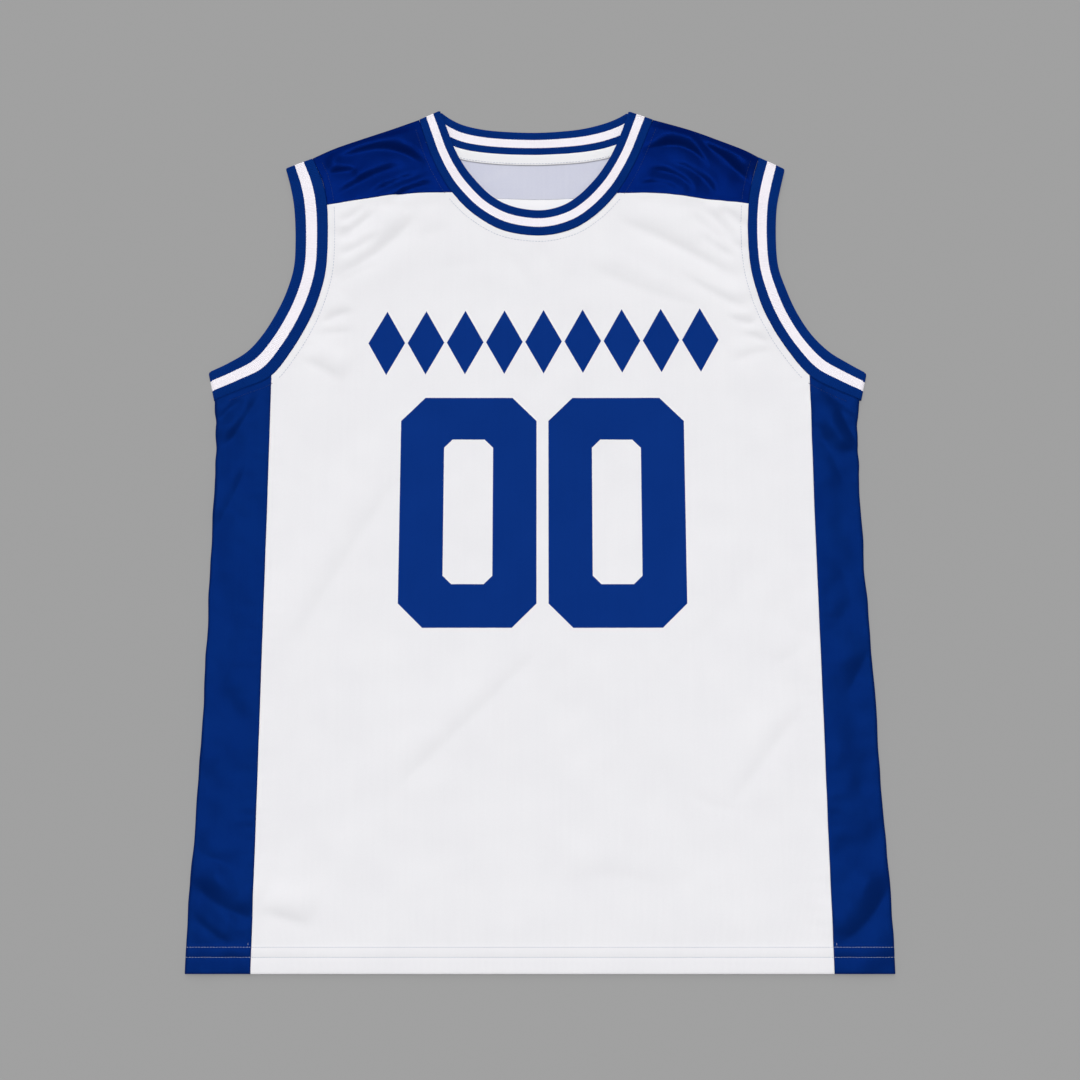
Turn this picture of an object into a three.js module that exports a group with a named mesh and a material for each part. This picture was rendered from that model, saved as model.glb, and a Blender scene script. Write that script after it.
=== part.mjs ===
// A sleeveless basketball jersey, laid flat on its back.
// Millimetres: +X to the right of the laid garment, +Y from the hem to the neck, +Z up.
// Tables give x from the centre line and heights up from the hem along the laid cloth.
import * as THREE from "three";

// Driving sizes
const LENGTH = 725.6; // hem to the highest point of the collar
const CLOTH = 1.2; // knit of the panels
const RIB = 1.6; // doubled rib of the collar and armholes
const TAPE = 1.0; // tape over the back neck seam
const TAPE_WIDTH = 9.5;
const HEM_DEPTH = 21; // turned-up hem
const HEM_EXTRA = 0.5; // what the turn-up adds to the cloth
const HEM_STEP = 1.2; // length of the slope at the hem's upper edge
const SEAM_INSET = 0.2; // each piece stops this far short of the seam line
const FOLD_INSET = 0.8; // and a trim this much more where it folds over
const LAYER_GAP = 0.3; // between layers where they are closest
const FRONT_REST = 2.0; // underside of the front layer where it lies lowest
const SHOULDER_FALL = 16; // the front yoke comes down to the back over this length
const FOLD_STEPS = 6; // facets round a folded edge
const TRIM_STEPS = 2; // sections for each row of a trim's table, on the trim and beside it
const HEM_ROWS = 3; // rows of points up to the top of the hem
const FRONT_ROWS = 21; // rows of facets from the hem to the armholes
const SIDE_ROWS = 20;
const BACK_ROWS = 5;
const BACK_COLUMNS = 12;
const SEAM_COLUMNS = 8; // facets along each front yoke seam
const YOKE_COLUMNS = 12;
const TAPE_COLUMNS = 18;
const RIDGE_END = 0.12; // a ridge keeps the height that it has this far from its ends

// Side folds, and the seams between the front panel and the side panels
const SIDES = [
  { height: 0, foldLeft: -275.7, foldRight: 275.7, seamLeft: -224.2, seamRight: 228.0 },
  { height: 56, foldLeft: -275.1, foldRight: 274.9, seamLeft: -224.2, seamRight: 227.5 },
  { height: 133, foldLeft: -272.2, foldRight: 271.2, seamLeft: -224.2, seamRight: 227.0 },
  { height: 213, foldLeft: -270.1, foldRight: 269.4, seamLeft: -224.2, seamRight: 226.6 },
  { height: 294, foldLeft: -269.5, foldRight: 266.0, seamLeft: -224.2, seamRight: 225.9 },
  { height: 378, foldLeft: -269.0, foldRight: 263.7, seamLeft: -224.2, seamRight: 225.4 },
  { height: 430, foldLeft: -269.2, foldRight: 264.2, seamLeft: -224.3, seamRight: 225.3 },
  { height: 455, foldLeft: -270.4, foldRight: 265.6, seamLeft: -224.4, seamRight: 225.3 },
  { height: 485, foldLeft: -272.5, foldRight: 268.0, seamLeft: -224.5, seamRight: 225.3 },
];

// Armhole trims from the shoulder tip to the underarm: free edge, and seam to the body
const ARMHOLE_LEFT = [
  { freeX: -218.7, freeHeight: 671.7, seamX: -196.1, seamHeight: 680.9 },
  { freeX: -213.5, freeHeight: 653.0, seamX: -186.9, seamHeight: 660.0 },
  { freeX: -209.9, freeHeight: 633.2, seamX: -182.2, seamHeight: 637.8 },
  { freeX: -208.1, freeHeight: 607.0, seamX: -180.6, seamHeight: 608.0 },
  { freeX: -208.6, freeHeight: 582.0, seamX: -181.3, seamHeight: 580.5 },
  { freeX: -213.6, freeHeight: 560.8, seamX: -186.3, seamHeight: 555.8 },
  { freeX: -221.5, freeHeight: 541.3, seamX: -194.9, seamHeight: 532.5 },
  { freeX: -232.5, freeHeight: 521.6, seamX: -207.5, seamHeight: 508.5 },
  { freeX: -245.0, freeHeight: 506.3, seamX: -224.5, seamHeight: 485.0 },
  { freeX: -260.5, freeHeight: 496.0, seamX: -247.0, seamHeight: 473.5 },
  { freeX: -277.4, freeHeight: 487.5, seamX: -271.7, seamHeight: 462.9 },
];
const ARMHOLE_RIGHT = [
  { freeX: 210.6, freeHeight: 671.0, seamX: 188.6, seamHeight: 682.0 },
  { freeX: 205.9, freeHeight: 652.0, seamX: 182.3, seamHeight: 661.0 },
  { freeX: 202.2, freeHeight: 633.2, seamX: 178.4, seamHeight: 638.7 },
  { freeX: 200.8, freeHeight: 607.0, seamX: 177.1, seamHeight: 608.0 },
  { freeX: 202.0, freeHeight: 582.0, seamX: 178.9, seamHeight: 580.5 },
  { freeX: 208.2, freeHeight: 560.8, seamX: 184.3, seamHeight: 555.8 },
  { freeX: 216.0, freeHeight: 541.3, seamX: 193.2, seamHeight: 532.5 },
  { freeX: 227.6, freeHeight: 521.6, seamX: 207.0, seamHeight: 508.5 },
  { freeX: 241.8, freeHeight: 506.3, seamX: 225.3, seamHeight: 485.0 },
  { freeX: 257.2, freeHeight: 496.0, seamX: 245.5, seamHeight: 473.5 },
  { freeX: 273.3, freeHeight: 486.6, seamX: 267.9, seamHeight: 463.3 },
];
const AT_YOKE = 2; // row where the yoke seam meets the armhole
const AT_SIDE = 8; // row where the side seam meets the armhole

// Collar trim from the left shoulder to the right: front half, then back half
const COLLAR_FRONT = [
  { freeX: -87.0, freeHeight: 725.6, seamX: -104.7, seamHeight: 717.1 },
  { freeX: -80.4, freeHeight: 707.7, seamX: -99.2, seamHeight: 699.0 },
  { freeX: -74.6, freeHeight: 691.4, seamX: -93.2, seamHeight: 682.0 },
  { freeX: -66.8, freeHeight: 675.8, seamX: -85.4, seamHeight: 665.0 },
  { freeX: -57.2, freeHeight: 662.4, seamX: -75.3, seamHeight: 649.1 },
  { freeX: -41.1, freeHeight: 645.6, seamX: -56.8, seamHeight: 629.6 },
  { freeX: -22.5, freeHeight: 636.0, seamX: -31.5, seamHeight: 614.6 },
  { freeX: 0.0, freeHeight: 632.8, seamX: 0.5, seamHeight: 609.6 },
  { freeX: 18.8, freeHeight: 637.0, seamX: 28.0, seamHeight: 616.0 },
  { freeX: 33.6, freeHeight: 646.8, seamX: 48.2, seamHeight: 629.4 },
  { freeX: 47.6, freeHeight: 661.8, seamX: 65.8, seamHeight: 648.6 },
  { freeX: 57.2, freeHeight: 675.6, seamX: 76.8, seamHeight: 666.6 },
  { freeX: 64.7, freeHeight: 690.0, seamX: 84.9, seamHeight: 683.4 },
  { freeX: 70.9, freeHeight: 706.0, seamX: 91.2, seamHeight: 699.6 },
  { freeX: 77.0, freeHeight: 725.0, seamX: 97.9, seamHeight: 717.2 },
];
const COLLAR_BACK = [
  { freeX: -87.0, freeHeight: 725.6, seamX: -104.7, seamHeight: 717.1 },
  { freeX: -78.0, freeHeight: 718.6, seamX: -88.2, seamHeight: 700.8 },
  { freeX: -65.8, freeHeight: 712.5, seamX: -69.9, seamHeight: 691.0 },
  { freeX: -47.6, freeHeight: 708.2, seamX: -49.2, seamHeight: 686.8 },
  { freeX: -26.0, freeHeight: 706.2, seamX: -26.2, seamHeight: 685.0 },
  { freeX: -3.5, freeHeight: 705.6, seamX: -3.0, seamHeight: 684.6 },
  { freeX: 17.3, freeHeight: 706.7, seamX: 18.6, seamHeight: 685.5 },
  { freeX: 37.2, freeHeight: 709.2, seamX: 39.7, seamHeight: 687.6 },
  { freeX: 54.6, freeHeight: 713.8, seamX: 60.2, seamHeight: 692.2 },
  { freeX: 66.8, freeHeight: 718.8, seamX: 80.4, seamHeight: 701.4 },
  { freeX: 77.0, freeHeight: 725.0, seamX: 97.9, seamHeight: 717.2 },
];
const NECK_LEFT = 4; // rows where the front yoke seams meet the collar
const NECK_RIGHT = 10;
const TAPE_START = 0.75; // rows of the back half that the tape leaves free at each end

// Shoulder lines, from the collar out, and the yoke seams, from left to right
const SHOULDER_LEFT = [
  { x: -104.7, height: 717.1 },
  { x: -129.7, height: 707.6 },
  { x: -155.4, height: 698.4 },
  { x: -178.0, height: 689.8 },
  { x: -196.1, height: 680.9 },
];
const SHOULDER_RIGHT = [
  { x: 97.9, height: 717.2 },
  { x: 129.7, height: 707.6 },
  { x: 155.4, height: 697.6 },
  { x: 176.0, height: 689.0 },
  { x: 188.6, height: 682.0 },
];
const YOKE_SEAM_LEFT = [
  { x: -182.2, height: 637.8 },
  { x: -154.1, height: 642.2 },
  { x: -115.7, height: 647.6 },
  { x: -75.3, height: 649.1 },
];
const YOKE_SEAM_RIGHT = [
  { x: 65.8, height: 648.6 },
  { x: 104.0, height: 648.0 },
  { x: 141.3, height: 642.9 },
  { x: 178.4, height: 638.7 },
];
const YOKE_SEAM_BACK = [
  { x: -182.2, height: 637.8 },
  { x: -120.0, height: 644.6 },
  { x: -51.4, height: 644.8 },
  { x: 0.0, height: 643.3 },
  { x: 42.8, height: 644.8 },
  { x: 115.0, height: 644.8 },
  { x: 178.4, height: 638.7 },
];

// Soft folds in the front layer: a ridge from one end to the other, its half width and rise
const RIDGES = [
  { x1: -160, height1: 678, x2: -106, height2: 691, halfWidth: 9, rise: 1.5 },
  { x1: -172, height1: 661, x2: -118, height2: 681, halfWidth: 7, rise: 1.2 },
  { x1: -160, height1: 641, x2: -92, height2: 661, halfWidth: 8, rise: 1.1 },
  { x1: 106, height1: 690, x2: 148, height2: 672, halfWidth: 9, rise: 1.4 },
  { x1: 158, height1: 700, x2: 176, height2: 676, halfWidth: 7, rise: 1.2 },
  { x1: 92, height1: 662, x2: 146, height2: 641, halfWidth: 8, rise: 1.3 },
  { x1: -262, height1: 432, x2: -232, height2: 458, halfWidth: 8, rise: 1.6 },
  { x1: -256, height1: 372, x2: -236, height2: 424, halfWidth: 10, rise: 1.0 },
  { x1: -266, height1: 86, x2: -230, height2: 58, halfWidth: 9, rise: 1.3 },
  { x1: -266, height1: 62, x2: -232, height2: 34, halfWidth: 7, rise: 1.2 },
  { x1: 234, height1: 456, x2: 258, height2: 412, halfWidth: 9, rise: 1.6 },
  { x1: 262, height1: 268, x2: 236, height2: 224, halfWidth: 9, rise: 1.1 },
  { x1: 264, height1: 82, x2: 236, height2: 42, halfWidth: 9, rise: 1.4 },
  { x1: -176, height1: 590, x2: -106, height2: 640, halfWidth: 13, rise: 0.9 },
  { x1: -170, height1: 558, x2: -88, height2: 608, halfWidth: 14, rise: 0.8 },
  { x1: 70, height1: 612, x2: 170, height2: 556, halfWidth: 14, rise: 1.0 },
  { x1: 74, height1: 572, x2: 160, height2: 538, halfWidth: 13, rise: 0.7 },
  { x1: -130, height1: 400, x2: -206, height2: 250, halfWidth: 17, rise: 0.7 },
  { x1: -10, height1: 236, x2: -136, height2: 150, halfWidth: 18, rise: 0.8 },
  { x1: 218, height1: 178, x2: 146, height2: 118, halfWidth: 15, rise: 0.7 },
  { x1: -214, height1: 62, x2: -150, height2: 46, halfWidth: 12, rise: 0.6 },
];
// The collar and yoke stand a little higher where they pass over the tape's ends
const OVER_TAPE = [
  { x: -78, height: 688, radius: 31, rise: 1.5 },
  { x: 71, height: 688, radius: 31, rise: 1.5 },
];

const KNIT_WHITE = { color: 0xeeeef0, roughness: 0.72 };
const KNIT_BLUE = { color: 0x062a6e, roughness: 0.6 };
const RIB_BLUE = { color: 0x103376, roughness: 0.78 };
const TAPE_WHITE = { color: 0xf2f4f8, roughness: 0.8 };

const mix = (a, b, share) => a + (b - a) * share;

// Value of one column of a table at a height, smooth from row to row.
function valueAt(table, column, height) {
  const spline = new THREE.CubicInterpolant(
    table.map((row) => row.height),
    table.map((row) => row[column]),
    1,
    new Float32Array(1),
  );
  return spline.evaluate(height)[0];
}

function curveThrough(rows, x = "x", height = "height") {
  return new THREE.SplineCurve(rows.map((row) => new THREE.Vector2(row[x], row[height])));
}

const freeEdge = (rows) => curveThrough(rows, "freeX", "freeHeight");
const seamEdge = (rows) => curveThrough(rows, "seamX", "seamHeight");

// Points on the seam edge of a trim from one row of its table to another.
function seamPoints(rows, fromRow, toRow, steps = TRIM_STEPS * Math.abs(toRow - fromRow)) {
  const curve = seamEdge(rows);
  const last = rows.length - 1;
  return Array.from({ length: steps + 1 }, (_, i) =>
    curve.getPoint(mix(fromRow, toRow, i / steps) / last),
  );
}

// Height of the front layer's underside above the surface that the garment lies on.
function frontLift(x, height) {
  let lift = FRONT_REST;
  for (const ridge of RIDGES) {
    const alongX = ridge.x2 - ridge.x1;
    const alongH = ridge.height2 - ridge.height1;
    const length = Math.hypot(alongX, alongH);
    const toX = x - ridge.x1;
    const toH = height - ridge.height1;
    const along = (toX * alongX + toH * alongH) / length;
    const across = (toX * alongH - toH * alongX) / length;
    const beyond = Math.max(0, -along, along - length);
    const middle = Math.sin(Math.PI * THREE.MathUtils.clamp(along / length, RIDGE_END, 1 - RIDGE_END));
    const spread = Math.hypot(across, beyond) / ridge.halfWidth;
    lift += ridge.rise * middle * Math.exp(-spread * spread);
  }
  for (const place of OVER_TAPE) {
    const away = Math.hypot(x - place.x, height - place.height) / place.radius;
    lift += place.rise * Math.exp(-(away ** 4));
  }
  return lift;
}

const hemExtra = (height) =>
  HEM_EXTRA * THREE.MathUtils.clamp((HEM_DEPTH + HEM_STEP / 2 - height) / HEM_STEP, 0, 1);

// Share of its whole length that each point of a line has reached, as the mean of two lines.
function meanShares(first, second) {
  const shares = [first, second].map((line) => {
    const reached = [0];
    for (let i = 1; i < line.length; i++) reached.push(reached[i - 1] + line[i].distanceTo(line[i - 1]));
    return reached.map((length) => length / reached[reached.length - 1]);
  });
  return shares[0].map((share, i) => (share + shares[1][i]) / 2);
}

// A net of points inside four lines: two that run up, and two that run from left to right.
function fill(left, right, bottom, top) {
  const up = meanShares(left, right);
  const over = meanShares(bottom, top);
  const last = bottom.length - 1;
  const rise = left.length - 1;
  const blend = (j, i, axis) => {
    const v = up[j];
    const u = over[i];
    const acrossRow = mix(left[j][axis], right[j][axis], u);
    const upColumn = mix(bottom[i][axis], top[i][axis], v);
    const corners = mix(
      mix(bottom[0][axis], bottom[last][axis], u),
      mix(top[0][axis], top[last][axis], u),
      v,
    );
    return acrossRow + upColumn - corners;
  };
  return Array.from({ length: rise + 1 }, (_, j) =>
    Array.from({ length: last + 1 }, (_, i) => new THREE.Vector2(blend(j, i, "x"), blend(j, i, "y"))),
  );
}

// Draws the named edges of a net in from the seam lines.
function insetNet(net, edges) {
  const rows = net.length;
  const columns = net[0].length;
  const drawIn = (point, towards) =>
    point.clone().add(towards.clone().sub(point).setLength(SEAM_INSET));
  const copy = net.map((row) => row.map((point) => point.clone()));
  for (let j = 0; j < rows; j++) {
    if (edges.includes("left")) copy[j][0] = drawIn(copy[j][0], net[j][1]);
    if (edges.includes("right")) copy[j][columns - 1] = drawIn(copy[j][columns - 1], net[j][columns - 2]);
  }
  for (let i = 0; i < columns; i++) {
    if (edges.includes("bottom")) copy[0][i] = drawIn(copy[0][i], net[1][i]);
    if (edges.includes("top")) copy[rows - 1][i] = drawIn(copy[rows - 1][i], net[rows - 2][i]);
  }
  return copy;
}

// A closed wall between two nets of points of the same size; a ring's last row meets its first.
function wall(upper, lower, ring = false) {
  const rows = upper.length;
  const columns = upper[0].length;
  const points = [...upper.flat(), ...lower.flat()];
  const top = (j, i) => (j % rows) * columns + i;
  const under = (j, i) => rows * columns + top(j, i);
  const index = [];
  const face = (a, b, c, d) => index.push(a, b, c, a, c, d);
  const lastRow = ring ? rows : rows - 1;
  for (let j = 0; j < lastRow; j++) {
    for (let i = 0; i < columns - 1; i++) {
      face(top(j, i), top(j, i + 1), top(j + 1, i + 1), top(j + 1, i));
      face(under(j, i), under(j + 1, i), under(j + 1, i + 1), under(j, i + 1));
    }
    face(top(j, 0), top(j + 1, 0), under(j + 1, 0), under(j, 0));
    face(top(j + 1, columns - 1), top(j, columns - 1), under(j, columns - 1), under(j + 1, columns - 1));
  }
  for (let i = 0; i < columns - 1 && !ring; i++) {
    face(top(0, i + 1), top(0, i), under(0, i), under(0, i + 1));
    face(top(rows - 1, i), top(rows - 1, i + 1), under(rows - 1, i + 1), under(rows - 1, i));
  }
  let volume = 0;
  for (let i = 0; i < index.length; i += 3) {
    const [a, b, c] = index.slice(i, i + 3).map((n) => points[n]);
    volume += a.dot(new THREE.Vector3().crossVectors(b, c));
  }
  if (volume < 0) index.reverse();
  const geometry = new THREE.BufferGeometry();
  const positions = points.flatMap((p) => [p.x, p.y, p.z]);
  geometry.setAttribute("position", new THREE.Float32BufferAttribute(positions, 3));
  geometry.setIndex(index);
  geometry.computeVertexNormals();
  return geometry;
}

const jersey = new THREE.Group();

function addPiece(name, geometry, finish) {
  const material = new THREE.MeshStandardMaterial({ ...finish, metalness: 0 });
  const piece = new THREE.Mesh(geometry, material);
  piece.name = name;
  jersey.add(piece);
}

// A net lifted to a height above the surface that each point's place gives.
const liftNet = (net, lift) =>
  net.map((row, j) => row.map((p, i) => new THREE.Vector3(p.x, p.y, lift(p, j, i))));

// Heights of the rows of a body panel: the hem's two edges and its slope, then even rows.
function bodyHeights(topHeight, steps) {
  const hemTop = HEM_DEPTH + HEM_STEP / 2;
  const rest = Array.from({ length: steps }, (_, i) => mix(hemTop, topHeight, (i + 1) / steps));
  return [0, hemTop - HEM_STEP, hemTop, ...rest];
}

// A line up a side seam and on round the armhole to the yoke seam.
function panelSide(armhole, column, bodySteps) {
  const corner = armhole[AT_SIDE].seamHeight;
  const seam = bodyHeights(corner, bodySteps).map(
    (height) => new THREE.Vector2(valueAt(SIDES, column, height), height),
  );
  const curve = seamPoints(armhole, AT_SIDE, AT_YOKE);
  seam.pop();
  return [...seam, ...curve];
}

function panelNet(top, bodySteps) {
  const left = panelSide(ARMHOLE_LEFT, "seamLeft", bodySteps);
  const right = panelSide(ARMHOLE_RIGHT, "seamRight", bodySteps);
  const columns = top.length - 1;
  const bottom = top.map((_, i) => new THREE.Vector2(mix(left[0].x, right[0].x, i / columns), 0));
  return insetNet(fill(left, right, bottom, top), ["left", "right", "top"]);
}

// Front panel: its top edge is a yoke seam, the collar and the other yoke seam
function addFrontPanel() {
  const top = [
    ...curveThrough(YOKE_SEAM_LEFT).getPoints(SEAM_COLUMNS),
    ...seamPoints(COLLAR_FRONT, NECK_LEFT, NECK_RIGHT).slice(1),
    ...curveThrough(YOKE_SEAM_RIGHT).getPoints(SEAM_COLUMNS).slice(1),
  ];
  const net = panelNet(top, FRONT_ROWS);
  const under = liftNet(net, (p) => frontLift(p.x, p.y));
  const over = liftNet(net, (p) => frontLift(p.x, p.y) + CLOTH + hemExtra(p.y));
  addPiece("front_panel", wall(over, under), KNIT_WHITE);
}

function addBackPanel() {
  const net = panelNet(curveThrough(YOKE_SEAM_BACK).getPoints(BACK_COLUMNS), BACK_ROWS);
  const under = liftNet(net, () => 0);
  const over = liftNet(net, (p) => CLOTH + hemExtra(p.y));
  addPiece("back_panel", wall(over, under), KNIT_WHITE);
}

// Side panel: one strip from the front seam round the side fold to the back seam
function addSidePanel(name, armhole, seamColumn, foldColumn, outward) {
  const top = seamPoints(armhole, AT_SIDE, armhole.length - 1);
  const flatSteps = top.length - 1;
  const heights = bodyHeights(armhole[AT_SIDE].seamHeight, SIDE_ROWS);
  const share = heights.map((height) => height / heights[heights.length - 1]);
  const foldTop = armhole[armhole.length - 1].seamHeight;
  const seam = heights.map((height) => new THREE.Vector2(valueAt(SIDES, seamColumn, height), height));
  const fold = heights.map((height, j) => {
    const foldHeight = j < HEM_ROWS ? height : share[j] * foldTop;
    const x = valueAt(SIDES, foldColumn, foldHeight);
    const turn = (frontLift(x, foldHeight) + CLOTH) / 2;
    return new THREE.Vector2(x - outward * turn, foldHeight);
  });
  top[flatSteps] = fold[fold.length - 1].clone();
  const bottom = top.map((_, i) => new THREE.Vector2(mix(seam[0].x, fold[0].x, i / flatSteps), 0));
  const net = insetNet(fill(seam, fold, bottom, top), ["left", "top"]);

  const outer = [];
  const inner = [];
  net.forEach((row) => {
    const extra = (p) => hemExtra(p.y);
    const edge = row[flatSteps];
    const radius = (frontLift(edge.x, edge.y) + CLOTH) / 2;
    const around = (size) =>
      Array.from({ length: FOLD_STEPS - 1 }, (_, k) => {
        const angle = (Math.PI * (k + 1)) / FOLD_STEPS;
        return new THREE.Vector3(
          edge.x + outward * size * Math.sin(angle),
          edge.y,
          radius + size * Math.cos(angle),
        );
      });
    const backRow = [...row].reverse();
    outer.push([
      ...row.map((p) => new THREE.Vector3(p.x, p.y, frontLift(p.x, p.y) + CLOTH + extra(p))),
      ...around(radius),
      ...backRow.map((p) => new THREE.Vector3(p.x, p.y, 0)),
    ]);
    inner.push([
      ...row.map((p) => new THREE.Vector3(p.x, p.y, frontLift(p.x, p.y))),
      ...around(radius - CLOTH),
      ...backRow.map((p) => new THREE.Vector3(p.x, p.y, CLOTH)),
    ]);
  });
  addPiece(name, wall(outer, inner), KNIT_BLUE);
}

// Front yoke: between the yoke seam, the collar, the shoulder line and the armhole
function addFrontYoke(name, yokeSeam, shoulder, armSide, collarSide, armOnLeft) {
  const [left, right] = armOnLeft ? [armSide, collarSide] : [collarSide, armSide];
  const net = insetNet(fill(left, right, yokeSeam, shoulder), ["left", "right", "bottom"]);
  const last = net.length - 1;
  const fall = (p, j, i) => {
    const toShoulder = net[last][i].distanceTo(p);
    const share = THREE.MathUtils.smoothstep(toShoulder, 0, SHOULDER_FALL);
    return mix(CLOTH + LAYER_GAP, frontLift(p.x, p.y), share);
  };
  const under = liftNet(net, fall);
  const over = liftNet(net, (p, j, i) => fall(p, j, i) + CLOTH);
  addPiece(name, wall(over, under), KNIT_BLUE);
}

function addFrontYokes() {
  const rows = TRIM_STEPS * NECK_LEFT;
  addFrontYoke(
    "yoke_front_left",
    curveThrough(YOKE_SEAM_LEFT).getPoints(YOKE_COLUMNS),
    curveThrough(SHOULDER_LEFT).getPoints(YOKE_COLUMNS).reverse(),
    seamPoints(ARMHOLE_LEFT, AT_YOKE, 0, rows),
    seamPoints(COLLAR_FRONT, NECK_LEFT, 0),
    true,
  );
  addFrontYoke(
    "yoke_front_right",
    curveThrough(YOKE_SEAM_RIGHT).getPoints(YOKE_COLUMNS),
    curveThrough(SHOULDER_RIGHT).getPoints(YOKE_COLUMNS),
    seamPoints(ARMHOLE_RIGHT, AT_YOKE, 0, rows),
    seamPoints(COLLAR_FRONT, NECK_RIGHT, COLLAR_FRONT.length - 1),
    false,
  );
}

// Back yoke: one piece from armhole to armhole, under the collar's back half
function addBackYoke() {
  const top = [
    ...curveThrough(SHOULDER_LEFT).getPoints(SEAM_COLUMNS).reverse(),
    ...seamPoints(COLLAR_BACK, 0, COLLAR_BACK.length - 1).slice(1),
    ...curveThrough(SHOULDER_RIGHT).getPoints(SEAM_COLUMNS).slice(1),
  ];
  const left = seamPoints(ARMHOLE_LEFT, AT_YOKE, 0);
  const right = seamPoints(ARMHOLE_RIGHT, AT_YOKE, 0);
  const bottom = curveThrough(YOKE_SEAM_BACK).getPoints(top.length - 1);
  const net = insetNet(fill(left, right, bottom, top), ["left", "right", "bottom", "top"]);
  addPiece("yoke_back", wall(liftNet(net, () => CLOTH), liftNet(net, () => 0)), KNIT_BLUE);
}

// Sections of half a trim: three points across the band, from free edge to seam.
function trimSections(rows, steps) {
  const free = freeEdge(rows).getPoints(steps);
  const seam = seamEdge(rows).getPoints(steps);
  return free.map((point, i) => {
    const seamEnd = seam[i].clone().add(point.clone().sub(seam[i]).setLength(SEAM_INSET));
    return [point, point.clone().lerp(seamEnd, 0.5), seamEnd];
  });
}

// A trim is one ring of rib: the front half, a fold, the back half under it, and a fold.
function addTrim(name, frontRows, backRows) {
  const frontSteps = TRIM_STEPS * (frontRows.length - 1);
  const backSteps = TRIM_STEPS * (backRows.length - 1);
  const front = trimSections(frontRows, frontSteps);
  const back = trimSections(backRows, backSteps).reverse();
  const turn = (FRONT_REST + RIB) / 2;

  // The ends of both halves stop where the fold begins, so that the fold reaches the outline.
  const outwardAt = (end, before) => {
    const line = end[2].clone().sub(end[0]).normalize();
    const across = new THREE.Vector2(-line.y, line.x);
    return across.dot(end[1].clone().sub(before[1])) < 0 ? across.negate() : across;
  };
  const startOut = outwardAt(front[0], front[1]);
  const endOut = outwardAt(front[frontSteps], front[frontSteps - 1]);
  const foldAt = ([freeEnd, middle, seamEnd], outward) => {
    const drawnIn = seamEnd.clone().add(freeEnd.clone().sub(seamEnd).setLength(FOLD_INSET));
    return [freeEnd, middle, drawnIn].map((p) => p.clone().addScaledVector(outward, -turn));
  };
  const startFold = foldAt(front[0], startOut);
  const endFold = foldAt(front[frontSteps], endOut);
  front[0] = startFold;
  front[frontSteps] = endFold;
  back[0] = endFold;
  back[backSteps] = startFold;

  const ends = [...startFold, ...endFold];
  const lift = (p) => {
    const away = Math.min(...ends.map((end) => end.distanceTo(p)));
    const share = THREE.MathUtils.smoothstep(away, 0, SHOULDER_FALL);
    return mix(FRONT_REST, frontLift(p.x, p.y), share);
  };
  const outer = [];
  const inner = [];
  const around = (fold, outward, fromTop) => {
    for (let k = 1; k < FOLD_STEPS; k++) {
      const angle = (Math.PI * (fromTop ? k : FOLD_STEPS - k)) / FOLD_STEPS;
      const place = (size) => (p) => {
        const out = p.clone().addScaledVector(outward, size * Math.sin(angle));
        return new THREE.Vector3(out.x, out.y, turn + size * Math.cos(angle));
      };
      outer.push(fold.map(place(turn)));
      inner.push(fold.map(place(turn - RIB)));
    }
  };
  for (const section of front) {
    outer.push(section.map((p) => new THREE.Vector3(p.x, p.y, lift(p) + RIB)));
    inner.push(section.map((p) => new THREE.Vector3(p.x, p.y, lift(p))));
  }
  around(endFold, endOut, true);
  for (const section of back) {
    outer.push(section.map((p) => new THREE.Vector3(p.x, p.y, 0)));
    inner.push(section.map((p) => new THREE.Vector3(p.x, p.y, RIB)));
  }
  around(startFold, startOut, false);
  addPiece(name, wall(outer, inner, true), RIB_BLUE);
}

// Neck tape: a strip on the inside of the back yoke, along its collar seam
function addNeckTape() {
  const last = COLLAR_BACK.length - 1;
  const seam = seamPoints(COLLAR_BACK, TAPE_START, last - TAPE_START, TAPE_COLUMNS);
  const rows = [0, 1].map((side) =>
    seam.map((p, i) => {
      const next = seam[Math.min(i + 1, TAPE_COLUMNS)];
      const along = next.clone().sub(seam[Math.max(i - 1, 0)]).normalize();
      const down = new THREE.Vector2(along.y, -along.x);
      return p.clone().addScaledVector(down, SEAM_INSET + side * TAPE_WIDTH);
    }),
  );
  const base = CLOTH + LAYER_GAP;
  addPiece("neck_tape", wall(liftNet(rows, () => base + TAPE), liftNet(rows, () => base)), TAPE_WHITE);
}

addFrontPanel();
addBackPanel();
addSidePanel("side_panel_left", ARMHOLE_LEFT, "seamLeft", "foldLeft", -1);
addSidePanel("side_panel_right", ARMHOLE_RIGHT, "seamRight", "foldRight", 1);
addFrontYokes();
addBackYoke();
addTrim("neck_rib", COLLAR_FRONT, COLLAR_BACK);
addTrim("armhole_rib_left", ARMHOLE_LEFT, ARMHOLE_LEFT);
addTrim("armhole_rib_right", ARMHOLE_RIGHT, ARMHOLE_RIGHT);
addNeckTape();

// The frame's origin is under the middle of the laid garment
const outline = new THREE.Box3().setFromObject(jersey);
jersey.position.set(-(outline.min.x + outline.max.x) / 2, -LENGTH / 2, 0);

export default jersey;
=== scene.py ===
import math

import bpy
import numpy as np
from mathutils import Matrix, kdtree, noise


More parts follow.
